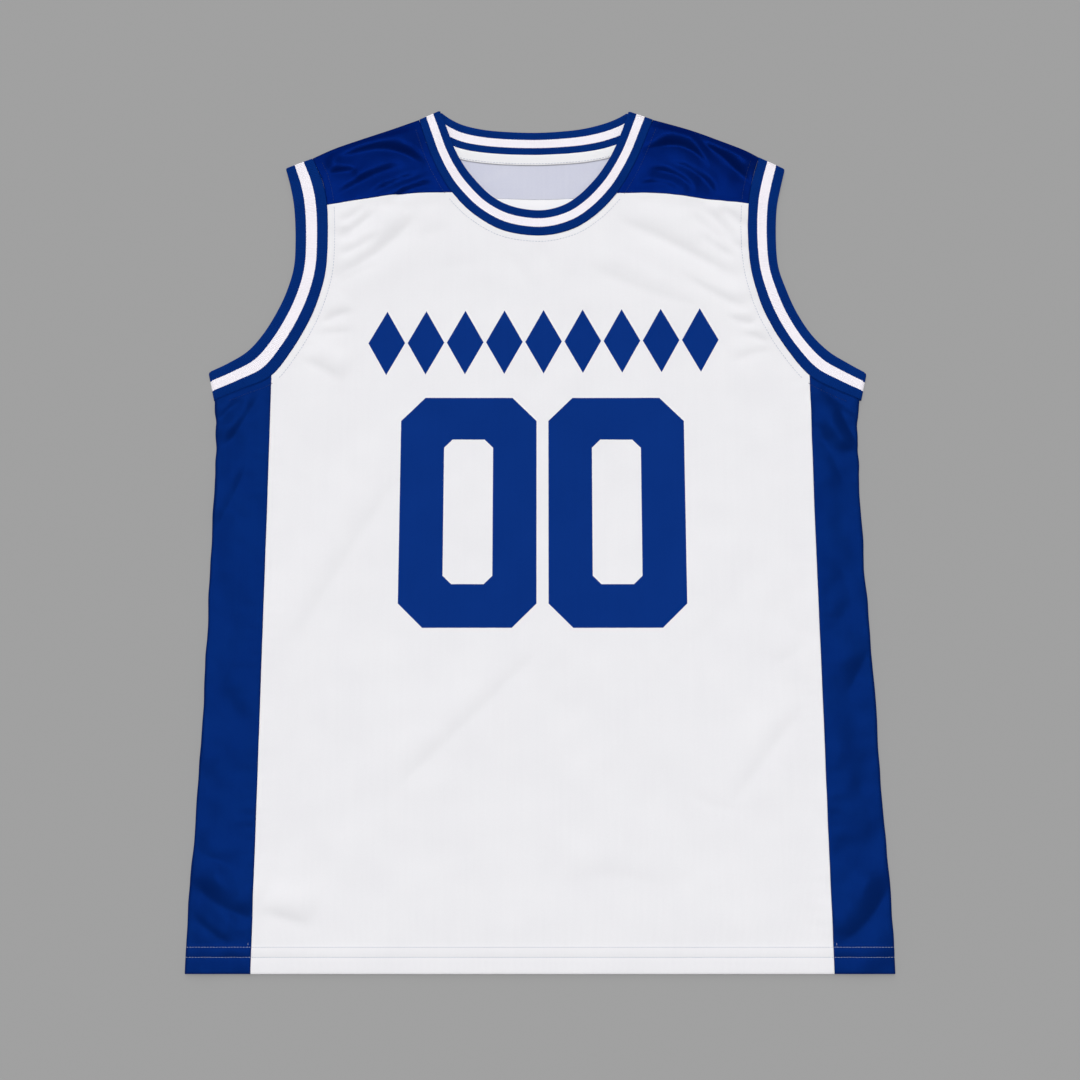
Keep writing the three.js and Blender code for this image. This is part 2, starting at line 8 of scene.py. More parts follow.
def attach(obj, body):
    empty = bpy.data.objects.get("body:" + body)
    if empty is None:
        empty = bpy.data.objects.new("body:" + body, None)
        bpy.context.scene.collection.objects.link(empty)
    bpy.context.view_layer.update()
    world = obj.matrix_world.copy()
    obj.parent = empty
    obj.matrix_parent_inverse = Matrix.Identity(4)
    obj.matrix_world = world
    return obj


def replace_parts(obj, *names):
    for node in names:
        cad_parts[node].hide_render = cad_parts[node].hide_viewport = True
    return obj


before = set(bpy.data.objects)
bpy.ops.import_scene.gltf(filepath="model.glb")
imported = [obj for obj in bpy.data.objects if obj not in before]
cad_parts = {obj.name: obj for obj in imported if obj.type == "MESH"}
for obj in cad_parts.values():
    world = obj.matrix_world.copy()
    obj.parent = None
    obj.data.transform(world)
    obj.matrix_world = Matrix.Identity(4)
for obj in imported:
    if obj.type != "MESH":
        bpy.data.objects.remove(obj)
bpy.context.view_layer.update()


# Back panel
# White polyester knit, cut in one from the hem up to the back yoke seam. Its sides and
# armhole edges are sewn under, and its lower edge is turned up and stitched twice.

# Tables are in millimetres, x from the garment's centre line and heights up from the hem.
MM = 0.001
CENTRE_X, CENTRE_HEIGHT = 0.85, 362.8  # what the frame's origin is away from those
CLOTH = 1.2
HEM_DEPTH, HEM_EXTRA, HEM_STEP = 21, 0.5, 1.2
HEM_FOLD = 0.55  # how far the hem's lower edge rounds over
HEM_FOLD_REACH = -0.6, 2.0  # between these heights
SEAM_ROLL, SEAM_ROLL_WIDTH = 0.32, 1.5  # the cloth dips into each seam by this much
SEAM_INSET = 0.06
EDGE_ROWS = np.array([0, 0.5, 1.1, 2.0])  # distances of the first rows from a sewn edge
HEM_STITCH_LOW, HEM_STITCH_HIGH = 12.6, 20.2
HEM_HEIGHTS = [0, 0.4, 1.0, 2.2, 5, 8.5, 11.4, 12.1, HEM_STITCH_LOW, 13.1, 13.8, 16.5,
               19.0, 19.7, HEM_STITCH_HIGH, 20.7, 21.3, 22.2, 24.5]
HEM_DIMPLE, HEM_DIMPLE_WIDTH = 0.22, 0.8
BACK_DIMPLE = 0.6  # share of the dimples that the back has, which the front's weight flattens
ROUNDING_LIMIT = 0.6  # an edge of the back rounds over by no more than this
BACK_SPACING = 5.0
CURVE_STEPS = 48  # steps from one row of a table to the next
NEAREST_STEP = 0.3
TOP_SHAPE_FROM = 0.06  # share of a net's height from which the shape of its top line grows in
CREASE_ENDS = 0.12, 0.28  # shares of its length by which a crease fades out and fades in
FULL_NOISE = 1.6  # brings noise to about -1 to 1

# height, left fold, right fold, left seam, right seam
SIDES = np.array([
    (0, -275.7, 275.7, -224.2, 228.0),
    (56, -275.1, 274.9, -224.2, 227.5),
    (133, -272.2, 271.2, -224.2, 227.0),
    (213, -270.1, 269.4, -224.2, 226.6),
    (294, -269.5, 266.0, -224.2, 225.9),
    (378, -269.0, 263.7, -224.2, 225.4),
    (430, -269.2, 264.2, -224.3, 225.3),
    (455, -270.4, 265.6, -224.4, 225.3),
    (485, -272.5, 268.0, -224.5, 225.3),
])
FOLD_LEFT, FOLD_RIGHT, SEAM_LEFT, SEAM_RIGHT = 1, 2, 3, 4

# free edge x and height, seam x and height, from the shoulder tip to the underarm
ARMHOLE_LEFT = np.array([
    (-218.7, 671.7, -196.1, 680.9),
    (-213.5, 653.0, -186.9, 660.0),
    (-209.9, 633.2, -182.2, 637.8),
    (-208.1, 607.0, -180.6, 608.0),
    (-208.6, 582.0, -181.3, 580.5),
    (-213.6, 560.8, -186.3, 555.8),
    (-221.5, 541.3, -194.9, 532.5),
    (-232.5, 521.6, -207.5, 508.5),
    (-245.0, 506.3, -224.5, 485.0),
    (-260.5, 496.0, -247.0, 473.5),
    (-277.4, 487.5, -271.7, 462.9),
])
ARMHOLE_RIGHT = np.array([
    (210.6, 671.0, 188.6, 682.0),
    (205.9, 652.0, 182.3, 661.0),
    (202.2, 633.2, 178.4, 638.7),
    (200.8, 607.0, 177.1, 608.0),
    (202.0, 582.0, 178.9, 580.5),
    (208.2, 560.8, 184.3, 555.8),
    (216.0, 541.3, 193.2, 532.5),
    (227.6, 521.6, 207.0, 508.5),
    (241.8, 506.3, 225.3, 485.0),
    (257.2, 496.0, 245.5, 473.5),
    (273.3, 486.6, 267.9, 463.3),
])
AT_YOKE, AT_SIDE, AT_FOLD = 2, 8, 10
CORNER_HEIGHT = 485.0
YOKE_SEAM_BACK = np.array([
    (-182.2, 637.8), (-120.0, 644.6), (-51.4, 644.8), (0.0, 643.3),
    (42.8, 644.8), (115.0, 644.8), (178.4, 638.7),
])
# x and height of one end and of the other, bow, half width and rise
BACK_CREASES = [
    (-150, 560, -60, 520, 6, 5, 0.42),
    (-176, 470, -120, 420, -5, 6, 0.40),
    (40, 590, 150, 540, 8, 5, 0.45),
    (170, 455, 120, 380, 4, 6, 0.38),
    (-30, 330, -130, 250, 9, 7, 0.40),
    (60, 240, 190, 170, -8, 7, 0.42),
    (-205, 90, -120, 60, 5, 5, 0.36),
    (30, 110, 120, 60, -6, 6, 0.40),
]


def through(rows, places):
    """Points on the smooth line through a table's rows, at places counted in rows."""
    last = len(rows) - 1
    places = np.asarray(places, float)
    start = np.clip(places.astype(int), 0, last - 1)
    t = (places - start)[:, None]
    p0, p1, p2, p3 = (rows[np.clip(start + k, 0, last)] for k in (-1, 0, 1, 2))
    v0, v1 = (p2 - p0) / 2, (p3 - p1) / 2
    return ((2 * (p1 - p2) + v0 + v1) * t + 3 * (p2 - p1) - 2 * v0 - v1) * t * t + v0 * t + p1


def edge(rows, start=0, end=None):
    """The line through some rows of a table, in short steps."""
    end = len(rows) - 1 if end is None else end
    return through(rows, np.linspace(start, end, round(CURVE_STEPS * abs(end - start)) + 1))


def reach(line):
    """How far along a line each of its points is."""
    steps = np.linalg.norm(np.diff(line, axis=0), axis=1)
    return np.concatenate([[0], np.cumsum(steps)])


def at_places(values, reached, places):
    """What holds at these places on a line, from the values at its points."""
    return np.stack([np.interp(places, reached, column) for column in values.T], 1)


def at_shares(line, shares):
    """Points on a line at these shares of its length."""
    reached = reach(line)
    return at_places(line, reached, np.asarray(shares) * reached[-1])


def graded(length, spacing, fine_start=True, fine_end=True):
    """Shares of a length, closer together beside its sewn ends."""
    start = EDGE_ROWS if fine_start else EDGE_ROWS[:1]
    end = EDGE_ROWS if fine_end else EDGE_ROWS[:1]
    count = max(2, round((length - start[-1] - end[-1]) / spacing))
    even = np.linspace(start[-1], length - end[-1], count + 1)[1:-1]
    return np.concatenate([start, even, length - end[::-1]]) / length


def fine_line(line, spacing, fine_start=True, fine_end=True):
    return at_shares(line, graded(reach(line)[-1], spacing, fine_start, fine_end))


def smoothstep(value, low, high):
    t = np.clip((value - low) / (high - low), 0, 1)
    return t * t * (3 - 2 * t)


def mix(a, b, share):
    return a + (b - a) * share


def fill(left, right, bottom, top):
    """A net of points inside four lines: two that run up, two from left to right."""
    up = (reach(left) / reach(left)[-1] + reach(right) / reach(right)[-1]) / 2
    over = (reach(bottom) / reach(bottom)[-1] + reach(top) / reach(top)[-1]) / 2
    u, v = over[None, :, None], up[:, None, None]
    rising = smoothstep(v, TOP_SHAPE_FROM, 1)
    low = bottom[None] - mix(bottom[0], bottom[-1], u)
    high = top[None] - mix(top[0], top[-1], u)
    return mix(left[:, None], right[:, None], u) + mix(low, high, rising)


def inset(net, *sides):
    """Draws sewn edges in from the seam line, so that two pieces don't share a face."""
    net = net.copy()
    for side in sides:
        rows = {"left": net[:, :2], "right": net[:, :-3:-1]}.get(side)
        if rows is None:
            rows = (net[:2] if side == "bottom" else net[:-3:-1]).swapaxes(0, 1)
        step = rows[:, 1] - rows[:, 0]
        rows[:, 0] += step / np.linalg.norm(step, axis=1)[:, None] * SEAM_INSET
    return net


def nearest(points, line):
    """How far points are from a line, and how far along it the nearest place is."""
    reached = reach(line)
    steps = np.linspace(0, 1, int(reached[-1] / NEAREST_STEP) + 2)
    dense = at_shares(line, steps)
    tree = kdtree.KDTree(len(dense))
    for i, (x, height) in enumerate(dense):
        tree.insert((x, height, 0), i)
    tree.balance()
    found = [tree.find((x, height, 0))[1:] for x, height in points.reshape(-1, 2)]
    away = np.array([f[1] for f in found]).reshape(points.shape[:-1])
    along = steps[[f[0] for f in found]].reshape(points.shape[:-1]) * reached[-1]
    return away, along


def crease(x, height, row):
    """A crease at each point: how far across it in half widths, and how strong it is there."""
    x1, h1, x2, h2, bow, width, _ = row
    length = math.hypot(x2 - x1, h2 - h1)
    t = ((x - x1) * (x2 - x1) + (height - h1) * (h2 - h1)) / length**2
    across = ((x - x1) * (h2 - h1) - (height - h1) * (x2 - x1)) / length
    inside = np.clip(t, 0, 1)
    across = across + bow * 4 * inside * (1 - inside)
    beyond = np.maximum(0, np.maximum(-t, t - 1)) * length
    out, full = CREASE_ENDS
    strength = smoothstep(t, -out, full) * smoothstep(t, 1 + out, 1 - full)
    return np.hypot(across, beyond) / width * np.sign(across + 1e-9), strength


def hem_extra(height):
    share = (HEM_DEPTH + HEM_STEP / 2 - height) / HEM_STEP
    return HEM_EXTRA * np.clip(share, 0, 1)


def hem_dimples(height):
    """The two rows of stitches pull the hem in a little."""
    near = [np.exp(-(((height - row) / HEM_DIMPLE_WIDTH) ** 2))
            for row in (HEM_STITCH_LOW, HEM_STITCH_HIGH)]
    return HEM_DIMPLE * sum(near)


def hem_round(height):
    return HEM_FOLD * (1 - smoothstep(height, *HEM_FOLD_REACH)) ** 2


def seam_roll(away, depth=SEAM_ROLL):
    return depth * (1 - smoothstep(away, 0, SEAM_ROLL_WIDTH))


def waves(x, height, size, seed):
    """Slow unevenness of cloth that was smoothed out by hand, from about -1 to 1."""
    flat = zip(np.ravel(x) / size, np.ravel(height) / size)
    values = [noise.noise((a, b, seed)) for a, b in flat]
    return np.array(values).reshape(np.shape(x)) * FULL_NOISE


def side_line(column, heights):
    line = edge(SIDES[:, [column, 0]])
    heights = np.asarray(heights, float)
    return np.stack([np.interp(heights, line[:, 1], line[:, 0]), heights], 1)


def body_heights(spacing):
    count = round((CORNER_HEIGHT - HEM_HEIGHTS[-1]) / spacing)
    even = np.linspace(HEM_HEIGHTS[-1], CORNER_HEIGHT, count + 1)[1:]
    return np.concatenate([HEM_HEIGHTS, even])


arm_seams = [edge(armhole[:, 2:], AT_SIDE, AT_YOKE) for armhole in (ARMHOLE_LEFT, ARMHOLE_RIGHT)]


def body_net(top, spacing):
    """The net of a body panel: up both side seams and round both armholes to the yoke."""
    arms = [fine_line(arm, spacing, False) for arm in arm_seams]
    if len(arms[0]) != len(arms[1]):
        # both take the rows of the one that has fewer
        shares = graded(reach(min(arms, key=len))[-1], spacing, False)
        arms = [at_shares(arm, shares) for arm in arms]
    left, right = (np.concatenate([side_line(column, body_heights(spacing))[:-1], arm])
                   for column, arm in zip((SEAM_LEFT, SEAM_RIGHT), arms))
    bottom = at_shares(np.array([left[0], right[0]]), reach(top) / reach(top)[-1])
    return fill(left, right, bottom, top)


def new_piece(name, points, faces):
    """A smooth piece of the garment; its points are in the tables' millimetres."""
    mesh = bpy.data.meshes.new(name)
    mesh.from_pydata((points - (-CENTRE_X, CENTRE_HEIGHT, 0)) * MM, [], faces)
    mesh.shade_smooth()
    piece = bpy.data.objects.new(name, mesh)
    bpy.context.scene.collection.objects.link(piece)
    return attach(piece, "root")


def wall(name, outer, inner, cloth_map, ring=False):
    """A closed mesh between an outer and an inner net, with its cloth map in metres."""
    rows, columns = outer.shape[:2]
    points = np.concatenate([outer.reshape(-1, 3), inner.reshape(-1, 3)])
    number = np.arange(rows * columns).reshape(rows, columns)
    if ring:
        number = np.concatenate([number, number[:1]])
    a, b, c, d = number[:-1, :-1], number[:-1, 1:], number[1:, 1:], number[1:, :-1]
    skin = np.stack([a, b, c, d], -1).reshape(-1, 4)
    under = rows * columns
    rims = [number[:, 0][::-1], number[:, -1]]
    if not ring:
        rims += [number[0], number[-1][::-1]]
    faces = [skin, skin[:, ::-1] + under]
    for rim in rims:
        faces.append(np.stack([rim[1:], rim[:-1], rim[:-1] + under, rim[1:] + under], -1))
    faces = np.concatenate(faces)
    p = points[faces]
    volume = np.einsum("ij,ij->", p[:, 0], np.cross(p[:, 1], p[:, 2]) + np.cross(p[:, 2], p[:, 3]))
    if volume < 0:
        faces = faces[:, ::-1]
    piece = new_piece(name, points, faces)
    if ring:
        # the last round of faces has its own end of the map
        lap = np.concatenate([cloth_map, cloth_map[-1:]])
        lap[-1, :, 0] = 2 * cloth_map[-1, :, 0] - cloth_map[-2, :, 0]
        flat = lap.reshape(-1, 2)
    else:
        flat = cloth_map.reshape(-1, 2)
    corners = faces.ravel()
    place = corners % under
    if ring:
        wraps = (faces % under // columns).max(1) == rows - 1
        wraps &= (faces % under // columns).min(1) == 0
        late = np.repeat(wraps, 4) & (place < columns)
        place = np.where(late, place + under, place)
    piece.data.uv_layers.new(name="cloth").data.foreach_set("uv", flat[place].ravel())
    return piece


def lifted(net, heights):
    return np.concatenate([net, heights[..., None]], -1)


def flat_map(net):
    """A cloth map that is the place itself, in the frame."""
    return (net - (-CENTRE_X, CENTRE_HEIGHT)) * MM


class Wire:
    """One output of a finish's nodes; sums of it add their own nodes."""

    def __init__(self, finish, socket):
        self.finish, self.socket = finish, socket

    def out(self, name):
        return Wire(self.finish, self.socket.node.outputs[name])

    def math(self, operation, *others):
        values = dict(enumerate([self, *others]))
        return self.finish.node("Math", {"operation": operation}, values)

    def clamp(self):
        """The same, held between 0 and 1."""
        return self.math("MINIMUM", 1).math("MAXIMUM", 0)

    def __add__(self, other):
        return self.math("ADD", other)

    def __sub__(self, other):
        return self.math("SUBTRACT", other)

    def __rsub__(self, other):
        return self.finish.node("Math", {"operation": "SUBTRACT"}, {0: other, 1: self})

    def __mul__(self, other):
        return self.math("MULTIPLY", other)

    __radd__, __rmul__ = __add__, __mul__


class Finish:
    """A material: its constants sit on the shader, and node() adds any other node."""

    def __init__(self, name, constants):
        self.material = bpy.data.materials.new(name)
        self.material.use_nodes = True
        self.tree = self.material.node_tree
        self.shader = self.tree.nodes["Principled BSDF"]
        for label, value in constants.items():
            self.shader.inputs[label].default_value = value

    def node(self, kind, settings, values, output=0):
        node = self.tree.nodes.new("ShaderNode" + kind)
        for key, value in settings.items():
            setattr(node, key, value)
        for key, value in values.items():
            self.join(value, node.inputs[key])
        return Wire(self, node.outputs[output])

    def join(self, value, socket):
        if isinstance(value, Wire):
            self.tree.links.new(value.socket, socket)
        else:
            socket.default_value = value

    def shade(self, label, value):
        self.join(value, self.shader.inputs[label])

    def blend(self, share, first, second):
        """From the first colour to the second."""
        return self.node("Mix", {"data_type": "RGBA"}, {0: share, 6: first, 7: second}, 2)

    def speckle(self, place, size, detail=2):
        """Noise round 0, with spots of this size in metres."""
        values = {"Vector": place, "Scale": 1 / size, "Detail": detail}
        return self.node("TexNoise", {}, values) - 0.5

    def stretch(self, place, x, y):
        return self.node("VectorMath", {"operation": "MULTIPLY"}, {0: place, 1: (x, y, 1)})

    def cloth(self):
        """The place on the cloth map, whole and as its two parts."""
        place = self.node("UVMap", {"uv_map": "cloth"}, {})
        split = self.node("SeparateXYZ", {}, {0: place})
        return place, split.out("X"), split.out("Y")

    def relief(self, strength, depth, height):
        values = {"Strength": strength, "Distance": depth, "Height": height}
        self.shade("Normal", self.node("Bump", {}, values))

    def wear(self, piece, slot):
        piece.data.materials.append(self.material)
        return piece


WALE, COURSE = 0.0009, 0.00075  # spacing of the knit's columns and rows
STREAK, CLOUD, FIBRE = 0.0028, 0.045, 0.0016  # sizes of its streaks, slow changes and fibres
STREAK_LENGTH = 0.03  # a streak's width as a share of its length
KNIT_RELIEF = 0.35, 0.00012  # strength, and depth in metres
TURN = 2 * math.pi


def knit(name, colour, deep, roughness, constants, printed=None):
    """Fine plain knit: columns of small loops, faint streaks, and slow changes of shade."""
    finish = Finish(name, {"Roughness": roughness, **constants})
    place, x, y = finish.cloth()
    wale = (x * (TURN / WALE)).math("SINE")
    loop = (y * (TURN / COURSE) + wale * 1.3).math("SINE")
    streak = finish.speckle(finish.stretch(place, 1, STREAK_LENGTH), STREAK)
    cloud = finish.speckle(place, CLOUD)
    fibre = finish.speckle(place, FIBRE)
    shade = (cloud * 0.9 + streak * 0.35 + fibre * 0.5 + 0.5).clamp()
    base = finish.blend(shade, deep, colour)
    if printed:
        base = printed(finish, base, x, y, shade)
    finish.shade("Base Color", base)
    finish.shade("Roughness", roughness + fibre * 0.12)
    finish.relief(*KNIT_RELIEF, wale * 0.5 + loop * 0.35 + fibre * 0.5)
    return finish


WHITE_SHEEN = {"Specular IOR Level": 0.03, "Sheen Weight": 0.01, "Sheen Roughness": 0.5}
# Painted light: the back is the same white knit as the front, painted lighter against its shade at
# the neck
BACK_WHITE_PAINTED_LIGHT, DEEP_BACK_WHITE_PAINTED_LIGHT = (0.97, 0.965, 0.99, 1), (0.93, 0.925, 0.955, 1)
WHITE_ROUGHNESS = 0.75
white_knit = knit("white_knit", BACK_WHITE_PAINTED_LIGHT, DEEP_BACK_WHITE_PAINTED_LIGHT, WHITE_ROUGHNESS, WHITE_SHEEN)


def back_lift(x, height):
    """How far the back layer stands off the surface under it, in its shallow creases."""
    lift = 0
    for row in BACK_CREASES:
        across, strength = crease(x, height, row)
        lift = np.maximum(lift, row[-1] * strength * np.exp(-(across**2)))
    return lift


net = inset(body_net(fine_line(edge(YOKE_SEAM_BACK), BACK_SPACING), BACK_SPACING),
            "left", "right", "top")
sides = [side_line(column, [0, CORNER_HEIGHT]) for column in (SEAM_LEFT, SEAM_RIGHT)]
seams = [*arm_seams, edge(YOKE_SEAM_BACK), *sides]


def off_seams(net, seams):
    """Distance of each point of a net from the nearest of some seams."""
    return np.min([nearest(net, seam)[0] for seam in seams], axis=0)


x, height = net[..., 0], net[..., 1]
rise = back_lift(x, height)
pulled = hem_dimples(height) * BACK_DIMPLE
rounding = seam_roll(off_seams(net, seams)) + hem_round(height) + pulled
outer = rise + np.minimum(rounding, ROUNDING_LIMIT)
inner = rise + CLOTH + hem_extra(height) - hem_round(height) - pulled
back_panel = wall("back_panel_cloth", lifted(net, outer), lifted(net, inner), flat_map(net))
back_outer = lifted(net, outer)
white_knit.wear(back_panel, "white_knit")
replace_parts(back_panel, "back_panel")


# Back yoke
# The shoulder piece of the back, cut in one from armhole to armhole, in blue knit.
# The cloth is white underneath, so its inner side shows a pale grey blue at the neck.
SHOULDER_LEFT = np.array([
    (-104.7, 717.1), (-129.7, 707.6), (-155.4, 698.4), (-178.0, 689.8), (-196.1, 680.9),
])
SHOULDER_RIGHT = np.array([
    (97.9, 717.2), (129.7, 707.6), (155.4, 697.6), (176.0, 689.0), (188.6, 682.0),
])
# free edge x and height, seam x and height, from the left shoulder to the right
COLLAR_BACK = np.array([
    (-87.0, 725.6, -104.7, 717.1),
    (-78.0, 718.6, -88.2, 700.8),
    (-65.8, 712.5, -69.9, 691.0),
    (-47.6, 708.2, -49.2, 686.8),
    (-26.0, 706.2, -26.2, 685.0),
    (-3.5, 705.6, -3.0, 684.6),
    (17.3, 706.7, 18.6, 685.5),
    (37.2, 709.2, 39.7, 687.6),
    (54.6, 713.8, 60.2, 692.2),
    (66.8, 718.8, 80.4, 701.4),
    (77.0, 725.0, 97.9, 717.2),
])
YOKE_SPACING = 1.8
SHOULDER_ROUND = 0.6  # the folded shoulder edges round over by this much
INSIDE_FROM = 0.00117  # the cloth's inner side is above this height, in metres
PALE, DEEP_PALE = (0.70, 0.70, 0.745, 1), (0.62, 0.62, 0.68, 1)
YOKE_CREASES = [
    (-170, 652, -110, 676, 4, 4, 0.40),
    (-60, 656, -20, 672, -3, 4, 0.30),
    (30, 660, 78, 652, 3, 4, 0.32),
    (100, 680, 158, 652, 5, 4, 0.42),
    (120, 696, 160, 676, -4, 4, 0.36),
]
BACK_CREASES += YOKE_CREASES

left = fine_line(edge(ARMHOLE_LEFT[:, 2:], AT_YOKE, 0), YOKE_SPACING)
right = at_shares(edge(ARMHOLE_RIGHT[:, 2:], AT_YOKE, 0), reach(left) / reach(left)[-1])
top = np.concatenate([
    fine_line(edge(SHOULDER_LEFT)[::-1], YOKE_SPACING, True, False)[:-1],
    fine_line(edge(COLLAR_BACK[:, 2:]), YOKE_SPACING, False, False),
    fine_line(edge(SHOULDER_RIGHT), YOKE_SPACING, False, True)[1:],
])
bottom = at_shares(edge(YOKE_SEAM_BACK), reach(top) / reach(top)[-1])
net = inset(fill(left, right, bottom, top), "left", "right", "bottom", "top")
seams = [edge(ARMHOLE_LEFT[:, 2:], AT_YOKE, 0), edge(ARMHOLE_RIGHT[:, 2:], AT_YOKE, 0),
         edge(YOKE_SEAM_BACK), edge(COLLAR_BACK[:, 2:])]
shoulders = [edge(SHOULDER_LEFT), edge(SHOULDER_RIGHT)]
rise = back_lift(net[..., 0], net[..., 1])
round_over = SHOULDER_ROUND * (1 - smoothstep(off_seams(net, shoulders), 0, SEAM_ROLL_WIDTH))
outer = rise + np.minimum(seam_roll(off_seams(net, seams)) + round_over, ROUNDING_LIMIT)
inner = rise + CLOTH
yoke_back = wall("yoke_back_cloth", lifted(net, outer), lifted(net, inner), flat_map(net))


def pale_inside(finish, base, x, y, shade):
    """Blue outside, and a pale grey blue on the inner side of the cloth."""
    place = finish.node("TexCoord", {}, {}, "Object")
    rise = finish.node("SeparateXYZ", {}, {0: place}, "Z")
    inside = rise.math("GREATER_THAN", INSIDE_FROM)
    return finish.blend(inside, base, finish.blend(shade, DEEP_PALE, PALE))


# the filament's gloss keeps the cloth's own blue, also seen from low down
BLUE_SHEEN = {"Metallic": 0.245, "Specular IOR Level": 0.0, "Specular Tint": (0.05, 0.2, 0.8, 1)}
BLUE, DEEP_BLUE = (0.0018, 0.0206, 0.139, 1), (0.0013, 0.0150, 0.118, 1)
BLUE_ROUGHNESS = 0.4
LINED_SHEEN = {"Specular IOR Level": 0.42, "Specular Tint": (0.012, 0.17, 1, 1)}
lined_knit = knit("blue_knit_pale_inside", BLUE, DEEP_BLUE, BLUE_ROUGHNESS, LINED_SHEEN,
                  pale_inside)
lined_knit.wear(yoke_back, "blue_knit")
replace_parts(yoke_back, "yoke_back")


# Front panel
# White knit, cut in one from the hem to the yoke seams and the neck. The number and the
# band on the chest are dyed into the cloth, so they are flat and the knit shows in them.
COLLAR_FRONT = np.array([
    (-87.0, 725.6, -104.7, 717.1),
    (-80.4, 707.7, -99.2, 699.0),
    (-74.6, 691.4, -93.2, 682.0),
    (-66.8, 675.8, -85.4, 665.0),
    (-57.2, 662.4, -75.3, 649.1),
    (-41.1, 645.6, -56.8, 629.6),
    (-22.5, 636.0, -31.5, 614.6),
    (0.0, 632.8, 0.5, 609.6),
    (18.8, 637.0, 28.0, 616.0),
    (33.6, 646.8, 48.2, 629.4),
    (47.6, 661.8, 65.8, 648.6),
    (57.2, 675.6, 76.8, 666.6),
    (64.7, 690.0, 84.9, 683.4),
    (70.9, 706.0, 91.2, 699.6),
    (77.0, 725.0, 97.9, 717.2),
])
NECK_LEFT, NECK_RIGHT, NECK_END = 4, 10, 14  # the yoke seams' rows, and the last one
YOKE_SEAM_LEFT = np.array([(-182.2, 637.8), (-154.1, 642.2), (-115.7, 647.6), (-75.3, 649.1)])
YOKE_SEAM_RIGHT = np.array([(65.8, 648.6), (104.0, 648.0), (141.3, 642.9), (178.4, 638.7)])
FRONT_REST = 2.6  # underside of the front layer where it lies lowest
FRONT_LOWEST, LEVELS_OUT = 1.7, 0.2  # and where a crease dips most, which it does softly
HUMP_REACH, HUMP_SHARE = 2.8, 0.8  # the swelling round a crease, as shares of the crease
CREASE_BANKS = 0.85, 2.2  # reach of a crease's steep side and of its gentle side
BANK_SHARPNESS = 1.3
# rise, size and seed of the cloth's slow unevenness, all over and in the looser blue pieces
EVEN_WAVES = (0.16, 70, 3.3), (0.3, 26, 8.1)
LOOSE_WAVES = (0.9, 30, 5.7), (0.495, 15, 2.2)
LOOSE_RISE = 0.36
LOOSE_FROM_MIDDLE, LOOSE_HEIGHTS = (212, 240), (630, 660)  # the cloth grows loose over these
SHOULDER_FALL, LAYER_GAP = 10, 0.3
FRONT_SPACING = 2.7

# Soft folds: x and height of one end and of the other, half width and rise
RIDGES = [
    (-160, 678, -106, 691, 9, 1.5),
    (-172, 661, -118, 681, 7, 1.2),
    (-160, 641, -92, 661, 8, 1.1),
    (106, 690, 148, 672, 9, 1.4),
    (158, 700, 176, 676, 7, 1.2),
    (92, 662, 146, 641, 8, 1.3),
    (-262, 432, -232, 458, 8, 1.6),
    (-256, 372, -236, 424, 10, 1.0),
    (-266, 86, -230, 58, 9, 1.3),
    (-266, 62, -232, 34, 7, 1.2),
    (234, 456, 258, 412, 9, 1.6),
    (262, 268, 236, 224, 9, 1.1),
    (264, 82, 236, 42, 9, 1.4),
    (-176, 590, -106, 640, 13, 0.9),
    (-170, 558, -88, 608, 14, 0.8),
    (70, 612, 170, 556, 14, 1.0),
    (74, 572, 160, 538, 13, 0.7),
    (-130, 400, -206, 250, 17, 0.7),
    (-10, 236, -136, 150, 18, 0.8),
    (218, 178, 146, 118, 15, 0.7),
    (-214, 62, -150, 46, 12, 0.6),
]
RIDGE_END = 0.12
OVER_TAPE = [(-78, 688), (71, 688)]
OVER_TAPE_RADIUS, OVER_TAPE_RISE = 31, 1.5

